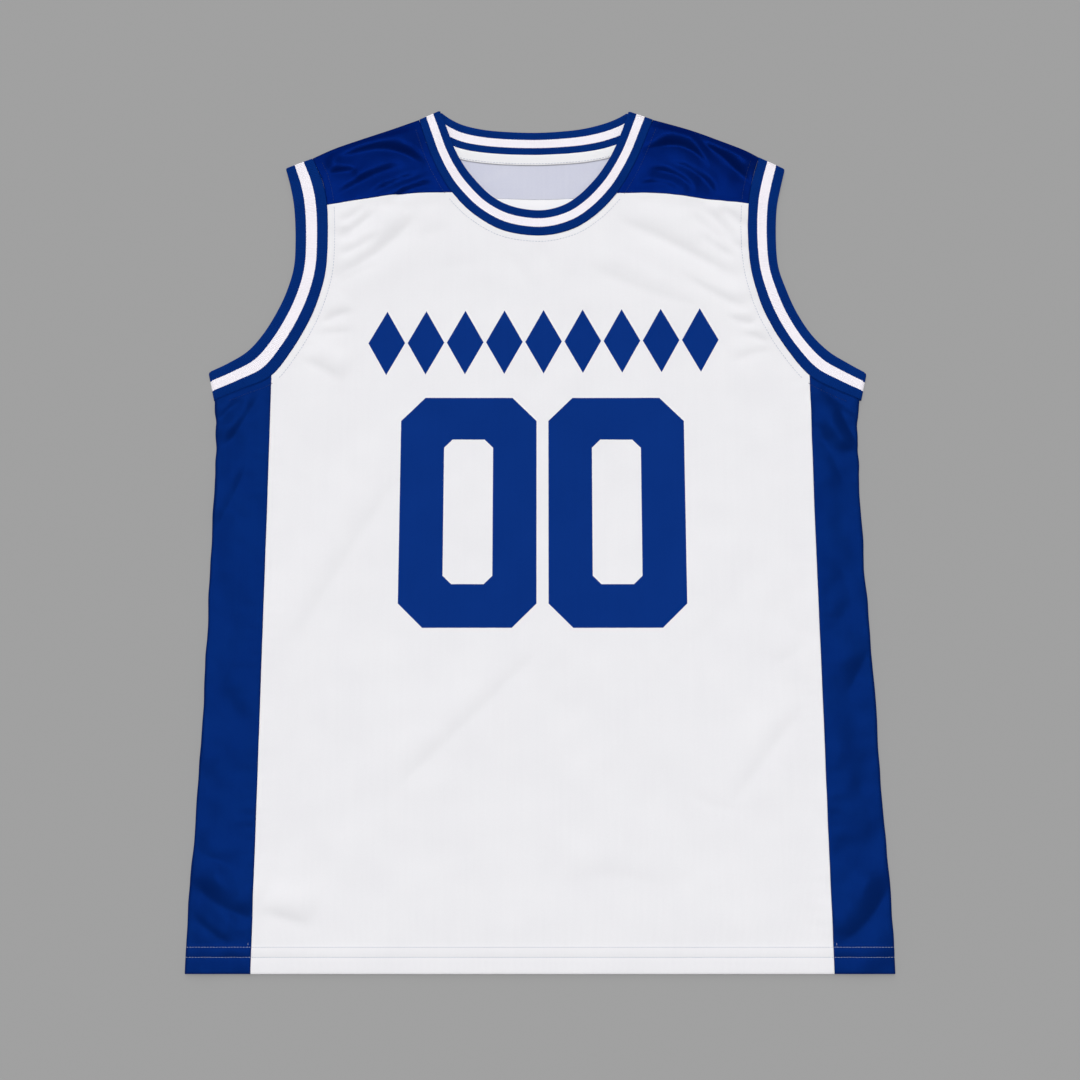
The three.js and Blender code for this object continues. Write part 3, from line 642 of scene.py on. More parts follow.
# Creases between the folds: x and height of both ends, bow, half width and depth. Seen from
# the first end towards the second, the steep side is on the left.
CREASES = [
    (-172, 680, -101, 676, 11, 7.0, 10.8),
    (-174, 646, -114, 676, 3, 6.4, 5.8),
    (-146, 646, -100, 667, 2, 4.6, 6.4),
    (-126, 644, -92, 657, 2, 4.6, 6.4),
    (-182, 665, -156, 669, 1, 5.8, 6.6),
    (-152, 667, -120, 676, 5, 5.1, 2.3),
    (92, 688, 145, 672, 12, 7.5, 9.6),
    (133, 700, 179, 658, 2, 6.4, 8.8),
    (110, 677, 151, 646, 6, 6.1, 5.5),
    (93, 670, 133, 649, 6, 5.5, 5.5),
    (84, 655, 122, 647, 6, 4.9, 3.9),
    (-174, 571, -105, 628, -4, 9.0, 4.2),
    (-170, 606, -141, 632, 0, 5.7, 4.0),
    (-171, 590, -135, 612, 0, 5.2, 3.0),
    (-170, 566, -133, 585, 2, 5.9, 3.0),
    (-170, 621, -148, 637, 0, 4.5, 2.6),
    (-108, 606, -76, 614, 2, 9.0, 1.5),
    (-92, 577, -47, 585, 1, 12.0, 1.3),
    (-182, 531, -157, 540, 3, 5.2, 2.6),
    (-185, 522, -158, 524, 0, 5.2, 2.3),
    (-198, 499, -166, 480, 1, 7.5, 3.5),
    (-29, 597, -5, 558, 0, 9.0, 2.0),
    (-2, 601, 17, 565, 2, 9.0, 1.3),
    (67, 624, 168, 570, 2, 9.3, 4.4),
    (119, 577, 174, 544, -2, 6.9, 3.3),
    (33, 587, 142, 545, -5, 12.0, 2.6),
    (139, 635, 168, 606, 1, 5.2, 4.0),
    (155, 634, 174, 617, 1, 4.5, 3.6),
    (135, 612, 165, 590, -1, 5.2, 3.6),
    (129, 630, 158, 602, 1, 4.5, 3.0),
    (151, 619, 173, 596, 0, 4.4, 3.3),
    (158, 538, 182, 531, -2, 5.2, 3.0),
    (168, 522, 190, 513, 2, 5.2, 3.0),
    (162, 496, 194, 508, 2, 7.5, 2.6),
    (-267, 443, -244, 465, 2, 6.4, 3.2),
    (-261, 422, -233, 468, -1, 8.8, 4.3),
    (-265, 354, -241, 413, -2, 8.0, 2.3),
    (-270, 69, -226, 42, -4, 9.6, 4.3),
    (-272, 46, -239, 22, -2, 7.2, 3.2),
    (-270, 93, -240, 79, 1, 7.2, 1.4),
    (-264, 141, -245, 190, -1, 9.6, 1.1),
    (-262, 213, -243, 261, -2, 9.6, 0.9),
    (269, 447, 235, 473, 1, 8.0, 5.3),
    (264, 424, 246, 462, 1, 7.4, 5.3),
    (252, 389, 232, 437, 0, 8.0, 1.8),
    (246, 216, 266, 255, 0, 9.6, 2.4),
    (235, 24, 274, 70, -5, 9.6, 4.3),
    (263, 105, 249, 157, -2, 9.6, 1.2),
    (252, 281, 243, 327, -3, 9.6, 1.1),
    (-204, 245, -111, 405, 3, 12.0, 2.2),
    (-123, 133, 9, 261, 0, 10.5, 2.0),
    (149, 123, 212, 210, 1, 9.0, 2.0),
    (119, 139, 178, 131, -9, 9.0, 1.1),
    (-218, 46, -179, 35, 1, 8.2, 3.1),
    (188, 241, 214, 259, -2, 7.5, 1.3),
    (16, 68, 100, 65, 8, 13.5, 1.3),
    (83, 219, 176, 325, -4, 15.0, 1.1),
]


def ridge_lift(x, height):
    """Height of the front layer's underside, as its soft folds have it."""
    lift = np.full(np.shape(x), FRONT_REST)
    for x1, h1, x2, h2, width, rise in RIDGES:
        length = math.hypot(x2 - x1, h2 - h1)
        along = ((x - x1) * (x2 - x1) + (height - h1) * (h2 - h1)) / length
        across = ((x - x1) * (h2 - h1) - (height - h1) * (x2 - x1)) / length
        beyond = np.maximum(0, np.maximum(-along, along - length))
        middle = np.sin(np.pi * np.clip(along / length, RIDGE_END, 1 - RIDGE_END))
        lift += rise * middle * np.exp(-((np.hypot(across, beyond) / width) ** 2))
    for at_x, at_height in OVER_TAPE:
        away = np.hypot(x - at_x, height - at_height) / OVER_TAPE_RADIUS
        lift += OVER_TAPE_RISE * np.exp(-(away**4))
    return lift


def unevenness(x, height, table):
    return sum(rise * waves(x, height, size, seed) for rise, size, seed in table)


def front_under(x, height):
    """That underside with its creases, its slow unevenness, and its fall to the shoulders.

    Where creases meet, the deeper one counts most, so they are summed as cubes.
    """
    humps, cuts = 0, 0
    for row in CREASES:
        across, strength = crease(x, height, row)
        humps += (row[-1] * strength * np.exp(-((across / HUMP_REACH) ** 2))) ** 3
        bank = np.abs(across) / np.where(across < 0, *CREASE_BANKS)
        cuts += (row[-1] * strength * np.exp(-(bank**BANK_SHARPNESS))) ** 3
    lift = ridge_lift(x, height) + HUMP_SHARE * np.cbrt(humps) - np.cbrt(cuts)
    lift += unevenness(x, height, EVEN_WAVES)
    loose = np.maximum(smoothstep(np.abs(x), *LOOSE_FROM_MIDDLE),
                       smoothstep(height, *LOOSE_HEIGHTS))
    lift += loose * (unevenness(x, height, LOOSE_WAVES) + LOOSE_RISE)
    lift = FRONT_LOWEST + LEVELS_OUT * np.logaddexp(0, (lift - FRONT_LOWEST) / LEVELS_OUT)
    place = np.stack([x, height], -1)
    share = smoothstep(off_seams(place, shoulders), 0, SHOULDER_FALL)
    return mix(CLOTH + LAYER_GAP, lift, share)


PUCKER_DEPTH, PUCKER_REACH, PUCKER_LENGTH = 0.24, 10.0, 10.5
PUCKERS_START = 0.5, 4  # distances from the seam over which they begin
PUCKER_DRIFT = (1.5, 31, 1), (0.9, 13.7, 2)  # size, length and seeds of their uneven spacing
PUCKER_FADE, PUCKER_FADE_LENGTH = 0.45, 23  # and of their uneven depth


def puckers(net, seam, seed):
    """Small ripples that a seam's tension leaves in the cloth beside it."""
    away, along = nearest(net, seam)
    drift = sum(size * np.sin(along / length + seeds * seed)
                for size, length, seeds in PUCKER_DRIFT)
    ripple = np.sin(TURN * along / PUCKER_LENGTH + drift)
    strength = 1 - PUCKER_FADE + PUCKER_FADE * np.sin(along / PUCKER_FADE_LENGTH + 3 * seed)
    near = np.exp(-away / PUCKER_REACH) * smoothstep(away, *PUCKERS_START)
    return PUCKER_DEPTH * ripple * strength * near


DIGIT_HALF_WIDTH, DIGIT_HALF_HEIGHT, DIGIT_STROKE = 56.25, 97.0, 36.0
DIGIT_CUT, COUNTER_CUT = 20.0, 7.0  # the cut corners, outside and inside
DIGIT_CENTRES = [(-59.1, 368.3), (63.2, 368.3)]
BAND_START, BAND_END, BAND_MIDDLE, BAND_TILT = -145.0, 151.0, 514.6, 0.011
LOZENGES, LOZENGE_HALF_WIDTH, LOZENGE_HALF_HEIGHT = 9, 15.4, 28.0
LOZENGE_SLOPE = 0.85  # turns a distance along x into one across a lozenge's side
PRINT_EDGE = 0.00025  # width in metres over which the dye ends
DYE_CREEP, DYE_GRAIN = 0.0002, 0.0007  # how far the dye creeps along the threads, and its grain
DYE, DEEP_DYE = (0.0022, 0.033, 0.228, 1), (0.0012, 0.0265, 0.196, 1)


def print_blocks(finish, base, x, y, shade):
    """Two plain block noughts, and a row of plain lozenges above them."""
    def block(away_x, away_y, half_width, half_height, cut):
        corner = (away_x + away_y) - (half_width + half_height - cut) * MM
        straight = (away_x - half_width * MM).math("MAXIMUM", away_y - half_height * MM)
        return straight.math("MAXIMUM", corner * math.sqrt(0.5))

    shapes = []
    for at_x, at_height in DIGIT_CENTRES:
        away_x = (x - (at_x + CENTRE_X) * MM).math("ABSOLUTE")
        away_y = (y - (at_height - CENTRE_HEIGHT) * MM).math("ABSOLUTE")
        whole = block(away_x, away_y, DIGIT_HALF_WIDTH, DIGIT_HALF_HEIGHT, DIGIT_CUT)
        counter = block(away_x, away_y, DIGIT_HALF_WIDTH - DIGIT_STROKE,
                        DIGIT_HALF_HEIGHT - DIGIT_STROKE, COUNTER_CUT)
        shapes.append(whole.math("MAXIMUM", 0 - counter))
    pitch = (BAND_END - BAND_START) / LOZENGES * MM
    first = (BAND_START + CENTRE_X) * MM
    along = x - first
    step = along.math("MODULO", pitch)
    away_x = (step - pitch / 2).math("ABSOLUTE")
    tilted = y - x * BAND_TILT - (BAND_MIDDLE - CENTRE_HEIGHT) * MM
    steep = LOZENGE_HALF_WIDTH / LOZENGE_HALF_HEIGHT
    lozenge = (away_x + tilted.math("ABSOLUTE") * steep - LOZENGE_HALF_WIDTH * MM) * LOZENGE_SLOPE
    beyond = (0 - along).math("MAXIMUM", along - (BAND_END - BAND_START) * MM)
    shapes.append(lozenge.math("MAXIMUM", beyond))
    nearest_shape = shapes[0].math("MINIMUM", shapes[1]).math("MINIMUM", shapes[2])
    creep = finish.speckle(finish.node("UVMap", {"uv_map": "cloth"}, {}), DYE_GRAIN) * DYE_CREEP
    share = ((nearest_shape + creep) * (-1 / PRINT_EDGE) + 0.5).clamp()
    return finish.blend(share, base, finish.blend(shade, DEEP_DYE, DYE))


left_seam = fine_line(edge(YOKE_SEAM_LEFT), FRONT_SPACING)
neck = fine_line(edge(COLLAR_FRONT[:, 2:], NECK_LEFT, NECK_RIGHT), FRONT_SPACING, False, False)
right_seam = fine_line(edge(YOKE_SEAM_RIGHT), FRONT_SPACING)
top = np.concatenate([left_seam, neck[1:], right_seam[1:]])
net = inset(body_net(top, FRONT_SPACING), "left", "right", "top")
SEAM_STEPS = np.linspace(0, CORNER_HEIGHT, 60)
seams = [*arm_seams, edge(YOKE_SEAM_LEFT), edge(YOKE_SEAM_RIGHT),
         edge(COLLAR_FRONT[:, 2:], NECK_LEFT, NECK_RIGHT),
         side_line(SEAM_LEFT, SEAM_STEPS), side_line(SEAM_RIGHT, SEAM_STEPS)]
x, height = net[..., 0], net[..., 1]
under = front_under(x, height)
for seed, seam in enumerate(seams):
    under = under + puckers(net, seam, seed)
outer = under + CLOTH + hem_extra(height)
outer = outer - seam_roll(off_seams(net, seams)) - hem_round(height) - hem_dimples(height)
under = under + hem_round(height)
front_panel = wall("front_panel_cloth", lifted(net, outer), lifted(net, under), flat_map(net))
front_outer = lifted(net, outer)
WHITE, DEEP_WHITE = (0.9, 0.895, 0.92, 1), (0.845, 0.84, 0.87, 1)
printed_knit = knit("white_knit_printed", WHITE, DEEP_WHITE, WHITE_ROUGHNESS, WHITE_SHEEN,
                    print_blocks)
printed_knit.wear(front_panel, "white_knit")
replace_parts(front_panel, "front_panel")


# Front yokes
# Two blue knit shoulder pieces, between the yoke seam, the collar, the shoulder fold and
# the armhole. The cloth is loosest here, so it lies in the garment's deepest creases.
RIB_SEAM_ROLL = 0.12  # the blue pieces hardly dip into their seams
# Painted shade: the same blue knit as the side panels, painted darker so that the creases look
# deeper; the stronger gloss below keeps the flat cloth light.
YOKE_BLUE_PAINTED_SHADE, DEEP_YOKE_BLUE_PAINTED_SHADE = (0.0009, 0.0138, 0.130, 1), (0.0006, 0.0089, 0.103, 1)
YOKE_SHEEN = {**BLUE_SHEEN, "Metallic": 0.373}
yoke_knit = knit("blue_knit_yoke_painted_shade", YOKE_BLUE_PAINTED_SHADE, DEEP_YOKE_BLUE_PAINTED_SHADE, BLUE_ROUGHNESS, YOKE_SHEEN)
PUCKERS_END = 2, 12  # distances from the shoulder fold over which the puckers end


def front_yoke(name, node, yoke_seam, shoulder, arm_side, collar_side, arm_on_left):
    lines = [arm_side, collar_side] if arm_on_left else [collar_side, arm_side]
    first = fine_line(lines[0], YOKE_SPACING)
    second = at_shares(lines[1], reach(first) / reach(first)[-1])
    bottom = fine_line(yoke_seam, YOKE_SPACING)
    top = at_shares(shoulder, reach(bottom) / reach(bottom)[-1])
    net = inset(fill(first, second, bottom, top), "left", "right", "bottom")
    seams = [yoke_seam, arm_side, collar_side]
    from_shoulder = off_seams(net, [shoulder])
    under = front_under(net[..., 0], net[..., 1])
    for seed, seam in enumerate(seams, 4):
        under = under + puckers(net, seam, seed) * smoothstep(from_shoulder, *PUCKERS_END)
    round_over = SHOULDER_ROUND * (1 - smoothstep(from_shoulder, 0, SEAM_ROLL_WIDTH))
    outer = under + CLOTH - seam_roll(off_seams(net, seams), RIB_SEAM_ROLL) - round_over
    piece = wall(name, lifted(net, outer), lifted(net, under), flat_map(net))
    yoke_knit.wear(piece, "blue_knit")
    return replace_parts(piece, node)


yoke_left = front_yoke(
    "yoke_front_left_cloth", "yoke_front_left", edge(YOKE_SEAM_LEFT), edge(SHOULDER_LEFT)[::-1],
    edge(ARMHOLE_LEFT[:, 2:], AT_YOKE, 0), edge(COLLAR_FRONT[:, 2:], NECK_LEFT, 0), True)
yoke_right = front_yoke(
    "yoke_front_right_cloth", "yoke_front_right", edge(YOKE_SEAM_RIGHT), edge(SHOULDER_RIGHT),
    edge(ARMHOLE_RIGHT[:, 2:], AT_YOKE, 0), edge(COLLAR_FRONT[:, 2:], NECK_RIGHT, NECK_END), False)


# Side panels
# One strip of blue knit down each side, sewn to the front, folded at the garment's edge
# and sewn to the back. It shares the hem's turn-up and its two rows of stitches.
SIDE_SPACING = 1.9
FOLD_TURNS = 9  # facets round the side fold
# The garment's side edges are uneven. Pairs are the heights over which something changes.
RIPPLE, RIPPLE_LENGTH, RIPPLE_GROWS, RIPPLE_ENDS = 0.35, 23, (380, 440), (450, 462)
EDGE_WAVES, EDGE_WAVE_SIZE, EDGE_SEED, EDGE_WAVES_GROW = 0.6, 22, 4.4, (10, 60)
FOLD_LIFTS = 24, 90  # the fold's rows draw up to the underarm
BACK_CREASES_START = 1, 8  # distances from the side fold
LEAST_TURN = 0.08  # inner radius of the side fold
HEM_UNDER = 0.6  # share of the hem's thickness that the back layer shows inside
FOLD_UNDER_RIB = 1.2  # the fold's end reaches this far past the trim's corner
blue_knit = knit("blue_knit", BLUE, DEEP_BLUE, BLUE_ROUGHNESS, BLUE_SHEEN)


def side_panel(name, node, armhole, seam_column, fold_column, outward):
    heights = body_heights(SIDE_SPACING)
    seam = side_line(seam_column, heights)
    fold_top = armhole[AT_FOLD, 3] + FOLD_UNDER_RIB
    drop = 1 - (1 - fold_top / CORNER_HEIGHT) * smoothstep(heights, *FOLD_LIFTS)
    fold_heights = heights * drop
    fold_x = side_line(fold_column, fold_heights)[:, 0]
    ripple = RIPPLE * np.sin(TURN * fold_heights / RIPPLE_LENGTH)
    ripple *= smoothstep(fold_heights, *RIPPLE_GROWS)
    ripple += (EDGE_WAVES * waves(fold_x, fold_heights, EDGE_WAVE_SIZE, EDGE_SEED)
               * smoothstep(fold_heights, *EDGE_WAVES_GROW))
    fold_x -= outward * (ripple + RIPPLE) * (1 - smoothstep(fold_heights, *RIPPLE_ENDS))
    turn = (front_under(fold_x, fold_heights) + CLOTH + hem_extra(fold_heights)) / 2
    fold = np.stack([fold_x - outward * turn, fold_heights], 1)
    under_arm = edge(armhole[:, 2:], AT_SIDE, AT_FOLD)
    under_arm = under_arm[(under_arm[:, 0] - fold[-1, 0]) * outward < 0]
    top = fine_line(np.concatenate([under_arm, fold[-1:]]), SIDE_SPACING, True, False)
    bottom = at_shares(np.array([seam[0], fold[0]]), reach(top) / reach(top)[-1])
    net = inset(fill(seam, fold, bottom, top), "left", "top")
    seams = [side_line(seam_column, SEAM_STEPS), edge(armhole[:, 2:], AT_SIDE, AT_FOLD)]
    x, height = net[..., 0], net[..., 1]
    under = front_under(x, height) + puckers(net, seams[0], 5) + puckers(net, seams[1], 6)
    extra = hem_extra(height)
    roll = np.maximum(seam_roll(off_seams(net, seams[:1])),
                      seam_roll(off_seams(net, seams[1:]), RIB_SEAM_ROLL))
    outer = under + CLOTH + extra - roll - hem_round(height) - hem_dimples(height)
    size = outer[:, -1] / 2
    angles = np.pi * np.arange(1, FOLD_TURNS) / FOLD_TURNS
    fold_line = net[:, -1]

    def around(radius):
        x = fold_line[:, :1] + outward * radius[:, None] * np.sin(angles)
        z = size[:, None] + radius[:, None] * np.cos(angles)
        return np.stack([x, np.repeat(fold_line[:, 1:], len(angles), 1), z], -1)

    back_net = net[:, ::-1]
    back_rise = back_lift(back_net[..., 0], back_net[..., 1]) * smoothstep(
        np.abs(back_net[..., 0] - fold_line[:, :1]), *BACK_CREASES_START)
    back_roll = np.minimum(roll[:, ::-1] + hem_round(back_net[..., 1]), ROUNDING_LIMIT)
    thickness = CLOTH + extra[:, -1]
    inner_size = np.maximum(size - thickness, LEAST_TURN)
    inner_top = under.copy()
    inner_top[:, -1] = size + inner_size
    inner_back = CLOTH + back_rise + hem_extra(back_net[..., 1]) * HEM_UNDER
    inner_back[:, 0] = size - inner_size
    outer_shell = np.concatenate([lifted(net, outer), around(size),
                                  lifted(back_net, back_rise + back_roll)], 1)
    inner_shell = np.concatenate([lifted(net, inner_top), around(inner_size),
                                  lifted(back_net, inner_back)], 1)
    steps = np.linalg.norm(np.diff(outer_shell, axis=1), axis=2)
    across = np.concatenate([np.zeros((len(net), 1)), np.cumsum(steps, 1)], 1)
    cloth_map = np.stack([across, outer_shell[..., 1]], -1) * MM
    piece = wall(name, outer_shell, inner_shell, cloth_map)
    blue_knit.wear(piece, "blue_knit")
    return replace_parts(piece, node), outer_shell


BACK_CREASES += [
    (-258, 430, -236, 462, 3, 4, 0.40),
    (-262, 96, -232, 60, -3, 4, 0.42),
    (236, 440, 256, 400, -3, 4, 0.40),
    (258, 210, 240, 170, 3, 4, 0.36),
    (262, 70, 240, 36, 3, 4, 0.40),
]
side_left, side_left_outer = side_panel(
    "side_panel_left_cloth", "side_panel_left", ARMHOLE_LEFT, SEAM_LEFT, FOLD_LEFT, -1)
side_right, side_right_outer = side_panel(
    "side_panel_right_cloth", "side_panel_right", ARMHOLE_RIGHT, SEAM_RIGHT, FOLD_RIGHT, 1)


# Collar
# One ring of doubled rib knit in blue, white and blue, sewn into the neck edge. It lies in
# a front half and a back half, and folds over at both shoulders. Its ribs run across it.
RIB = 1.6
RIB_PITCH, RIB_RELIEF, RIB_STEPS = 1.5, 0.13, 4  # spacing and depth of the ribs, steps in each
RIB_SHARES = np.array([0, 0.012, 0.035, 0.08, 0.18, 0.32, 0.5, 0.68, 0.82, 0.92, 0.965, 1])
RIB_MIDDLE = 5  # a place near the band's middle in those
RIB_CROWN = 0.22
RIB_EDGE, RIB_EDGE_REACH = 0.62, (-0.2, 1.6)  # how far the free edge rounds over, and where
RIBS_GROW = 2  # distance from both edges over which the ribs grow
FOLD_INSET, FOLD_REACH = 0.2, 12  # sections this near to a fold are drawn back to it
FOLD_INSIDE = -0.2  # share of the free edge's rounding on the inside of a fold
PRESSED = 0.6  # share of the rounding and the ribs that the underside has
BACK_STRIPES = (0.34, 0.70)  # where the collar's back half changes colour, across the band


def trim(name, node, front_rows, back_rows, back_stripes):
    """A ring of sections across the band, from the free edge to the seam."""
    def sections(rows):
        length = (reach(edge(rows[:, :2]))[-1] + reach(edge(rows[:, 2:]))[-1]) / 2
        count = RIB_STEPS * round(length / RIB_PITCH)
        dense = np.linspace(0, len(rows) - 1, CURVE_STEPS * (len(rows) - 1) + 1)
        middle = through(rows, dense)
        reached = reach((middle[:, :2] + middle[:, 2:]) / 2)
        places = np.interp(np.linspace(0, reached[-1], count + 1), reached, dense)
        points = through(rows, places)
        free, seam = points[:, :2], points[:, 2:]
        step = free - seam
        seam = seam + step / np.linalg.norm(step, axis=1)[:, None] * SEAM_INSET
        return mix(free[:, None], seam[:, None], RIB_SHARES[None, :, None])

    front, back = sections(front_rows), sections(back_rows)[::-1]
    turn = (FRONT_REST + RIB) / 2

    def outward_at(end, before):
        line = end[-1] - end[0]
        across = np.array([-line[1], line[0]]) / np.linalg.norm(line)
        return across if across @ (end[RIB_MIDDLE] - before[RIB_MIDDLE]) > 0 else -across

    start_out = outward_at(front[0], front[RIB_STEPS])
    end_out = outward_at(front[-1], front[-1 - RIB_STEPS])

    def fold_at(section, outward):
        step = section[0] - section[-1]
        pull = FOLD_INSET * np.maximum(0, RIB_SHARES * 2 - 1)[:, None]
        return section + step / np.linalg.norm(step) * pull - outward * turn

    start_fold, end_fold = fold_at(front[0], start_out), fold_at(front[-1], end_out)
    # sections that would pass the fold are drawn back to it
    for half in (front, back):
        for fold, outward in ((start_fold, start_out), (end_fold, end_out)):
            past = (half - fold) @ outward
            near = np.linalg.norm(half - fold, axis=2) < FOLD_REACH
            half -= np.where(near, np.maximum(past, 0), 0)[..., None] * outward

    ends = [*start_fold, *end_fold]

    def lift(points):
        away = np.min([np.linalg.norm(points - end, axis=-1) for end in ends], axis=0)
        plain = ridge_lift(points[..., 0], points[..., 1])
        return mix(FRONT_REST, plain, smoothstep(away, 0, SHOULDER_FALL))

    middle = front[len(front) // 2]
    width = np.linalg.norm(middle[-1] - middle[0])
    from_free = RIB_SHARES * width
    edge_drop = RIB_EDGE * (1 - smoothstep(from_free, *RIB_EDGE_REACH))
    seam_drop = seam_roll(width - from_free, RIB_SEAM_ROLL)
    crown = RIB_CROWN * np.sin(np.pi * RIB_SHARES)
    phases = np.arange(RIB_STEPS) / RIB_STEPS * TURN

    def ribs(count):
        wave = RIB_RELIEF * np.sin(phases[np.arange(count) % RIB_STEPS])
        return wave[:, None] * smoothstep(np.minimum(from_free, width - from_free), 0, RIBS_GROW)

    top = lift(front)
    outer = [lifted(front, top + RIB + crown - edge_drop - seam_drop + ribs(len(front)))]
    inner = [lifted(front, top + edge_drop)]

    def fold_over(fold, outward, from_top):
        turns = np.pi * np.arange(1, FOLD_TURNS) / FOLD_TURNS
        turns = turns if from_top else turns[::-1]
        for shell, size in ((outer, turn - edge_drop),
                            (inner, turn - RIB - edge_drop * FOLD_INSIDE)):
            shell.append(np.array([
                lifted(fold + outward * (size * math.sin(angle))[:, None],
                       turn + size * math.cos(angle)) for angle in turns]))

    fold_over(end_fold, end_out, True)
    under = edge_drop + seam_drop - np.minimum(ribs(len(back)), 0)
    outer.append(lifted(back, under * PRESSED))
    inner.append(lifted(back, RIB + crown - edge_drop + ribs(len(back))))
    fold_over(start_fold, start_out, False)

    # the map runs along the band in metres, and across it by thirds of its stripes
    total = [len(part) for part in outer]
    shell = np.concatenate(outer)
    along = reach(shell[:, RIB_MIDDLE]) * MM
    low, high = back_stripes
    on_back = np.interp(RIB_SHARES, [0, low, high, 1], [0, 1 / 3, 2 / 3, 1])
    weight = np.concatenate([np.zeros(total[0]), np.linspace(0, 1, total[1]),
                             np.ones(total[2]), np.linspace(1, 0, total[3])])
    stripe = mix(RIB_SHARES[None], on_back[None], weight[:, None])
    cloth_map = np.stack([np.broadcast_to(along[:, None], stripe.shape), stripe], -1)
    piece = wall(name, shell, np.concatenate(inner), cloth_map, ring=True)
    striped_rib.wear(piece, "striped_rib")
    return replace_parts(piece, node)


RIB_MAP_WIDTH = 0.022  # metres that the map's full width stands for
RIB_ROWS = 24  # knitted rows across the band
FUZZ, RIB_CLOUD = 0.0012, 0.02
STRIPE_SHARPNESS = 120
RIB_BLUE, DEEP_RIB_BLUE = (0.0018, 0.030, 0.195, 1), (0.0006, 0.019, 0.145, 1)
RIB_WHITE, DEEP_RIB_WHITE = (0.97, 0.93, 0.99, 1), (0.91, 0.87, 0.94, 1)


def rib_finish():
    """Doubled rib in three stripes; the colour changes from one knitted row to the next."""
    finish = Finish("striped_rib", {"Specular IOR Level": 0.02})
    place, along, across = finish.cloth()
    fuzz, cloud = (finish.speckle(finish.stretch(place, 1, RIB_MAP_WIDTH), size)
                   for size in (FUZZ, RIB_CLOUD))
    rib = (along * (TURN / (RIB_PITCH * MM))).math("SINE")
    rows = (across * (TURN * RIB_ROWS) + rib * 0.8).math("SINE")
    uneven = across + fuzz * 0.02 + rib * 0.003
    from_middle = (uneven - 0.5).math("ABSOLUTE")
    white = (from_middle * -STRIPE_SHARPNESS + STRIPE_SHARPNESS / 6 + 0.5).clamp()
    # The ribs and rows also make the colour darker in their grooves, as painted shade over the
    # relief
    shade = (cloud * 0.8 + fuzz * 0.9 + rib * 0.12 + rows * 0.06 + 0.5).clamp()
    blue = finish.blend(shade, DEEP_RIB_BLUE, RIB_BLUE)
    pale = finish.blend(shade, DEEP_RIB_WHITE, RIB_WHITE)
    finish.shade("Base Color", finish.blend(white, blue, pale))
    finish.shade("Roughness", 0.82 + fuzz * 0.1)
    finish.relief(0.4, 0.00018, rib * 0.5 + rows * 0.35 + fuzz * 0.6)
    return finish


striped_rib = rib_finish()
collar = trim("collar_rib", "neck_rib", COLLAR_FRONT, COLLAR_BACK, BACK_STRIPES)


# Armhole trims
# A ring of the same striped rib round each armhole, folded at the shoulder tip and under
# the arm, and sewn to the yokes, the body and the side panel.
THIRDS = (1 / 3, 2 / 3)
arm_trim_left = trim(
    "armhole_rib_left_band", "armhole_rib_left", ARMHOLE_LEFT, ARMHOLE_LEFT, THIRDS)
arm_trim_right = trim(
    "armhole_rib_right_band", "armhole_rib_right", ARMHOLE_RIGHT, ARMHOLE_RIGHT, THIRDS)


# Neck tape
# A narrow white twill tape that covers the back neck seam on the inside, from near one
# shoulder to near the other. A row of stitches holds its lower edge.
TAPE, TAPE_WIDTH, TAPE_START = 1.0, 9.5, 0.75
TAPE_SHARES = np.array([0, 0.04, 0.12, 0.35, 0.65, 0.86, 0.91, 0.96, 1])
TAPE_STITCH = 1.2  # distance of the stitches from the lower edge
TAPE_OFF_SEAM, TAPE_STEPS = 0.2, 80
TAPE_ROUND, TAPE_ROUND_WIDTH = 0.3, 0.8
TAPE_GROOVE, TAPE_GROOVE_WIDTH = 0.2, 0.6  # the stitches pull it in
TAPE_RIPPLE, TAPE_RIPPLE_LENGTH = 0.06, 1.7
TWILL = 0.0011  # spacing of the weave's diagonals in metres
TAPE_WHITE, DEEP_TAPE_WHITE = (0.92, 0.92, 0.94, 1), (0.85, 0.85, 0.87, 1)
BACK_END = len(COLLAR_BACK) - 1

line = at_shares(edge(COLLAR_BACK[:, 2:], TAPE_START, BACK_END - TAPE_START),
                 np.linspace(0, 1, TAPE_STEPS))
step = np.gradient(line, axis=0)
step /= np.linalg.norm(step, axis=1)[:, None]
down = np.stack([step[:, 1], -step[:, 0]], 1)
width = TAPE_SHARES * TAPE_WIDTH
net = line[:, None] + down[:, None] * (TAPE_OFF_SEAM + width)[None, :, None]
base = CLOTH + LAYER_GAP
from_edge = np.minimum(width, TAPE_WIDTH - width)
rounding = TAPE_ROUND * (1 - smoothstep(from_edge, 0, TAPE_ROUND_WIDTH))
from_stitch = TAPE_WIDTH - width - TAPE_STITCH
groove = TAPE_GROOVE * np.exp(-((from_stitch / TAPE_GROOVE_WIDTH) ** 2))
ripple = TAPE_RIPPLE * np.sin(np.arange(TAPE_STEPS) / TAPE_RIPPLE_LENGTH)[:, None]
outer = base + TAPE - rounding - groove + ripple
inner = np.full(net.shape[:2], base)
tape_map = np.stack(np.broadcast_arrays((reach(line) * MM)[:, None], width * MM), -1)
neck_tape = wall("neck_tape_strip", lifted(net, outer), lifted(net, inner), tape_map)


def twill_finish():
    """Dense diagonal weave of fine white thread."""
    finish = Finish("white_tape", {"Specular IOR Level": 0.2, "Sheen Weight": 0.05})
    place, x, y = finish.cloth()
    diagonal = ((x + y) * (TURN / TWILL)).math("SINE")
    fuzz = finish.speckle(place, FUZZ)
    # The diagonals also make the colour darker in their grooves, as painted shade over the relief
    shade = (diagonal * 0.2 + fuzz * 0.8 + 0.5).clamp()
    finish.shade("Base Color", finish.blend(shade, DEEP_TAPE_WHITE, TAPE_WHITE))
    finish.shade("Roughness", 0.78 + fuzz * 0.1)
    finish.relief(0.35, 0.00015, diagonal * 0.5 + fuzz * 0.5)
    return finish


twill_finish().wear(neck_tape, "white_tape")
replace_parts(neck_tape, "neck_tape")


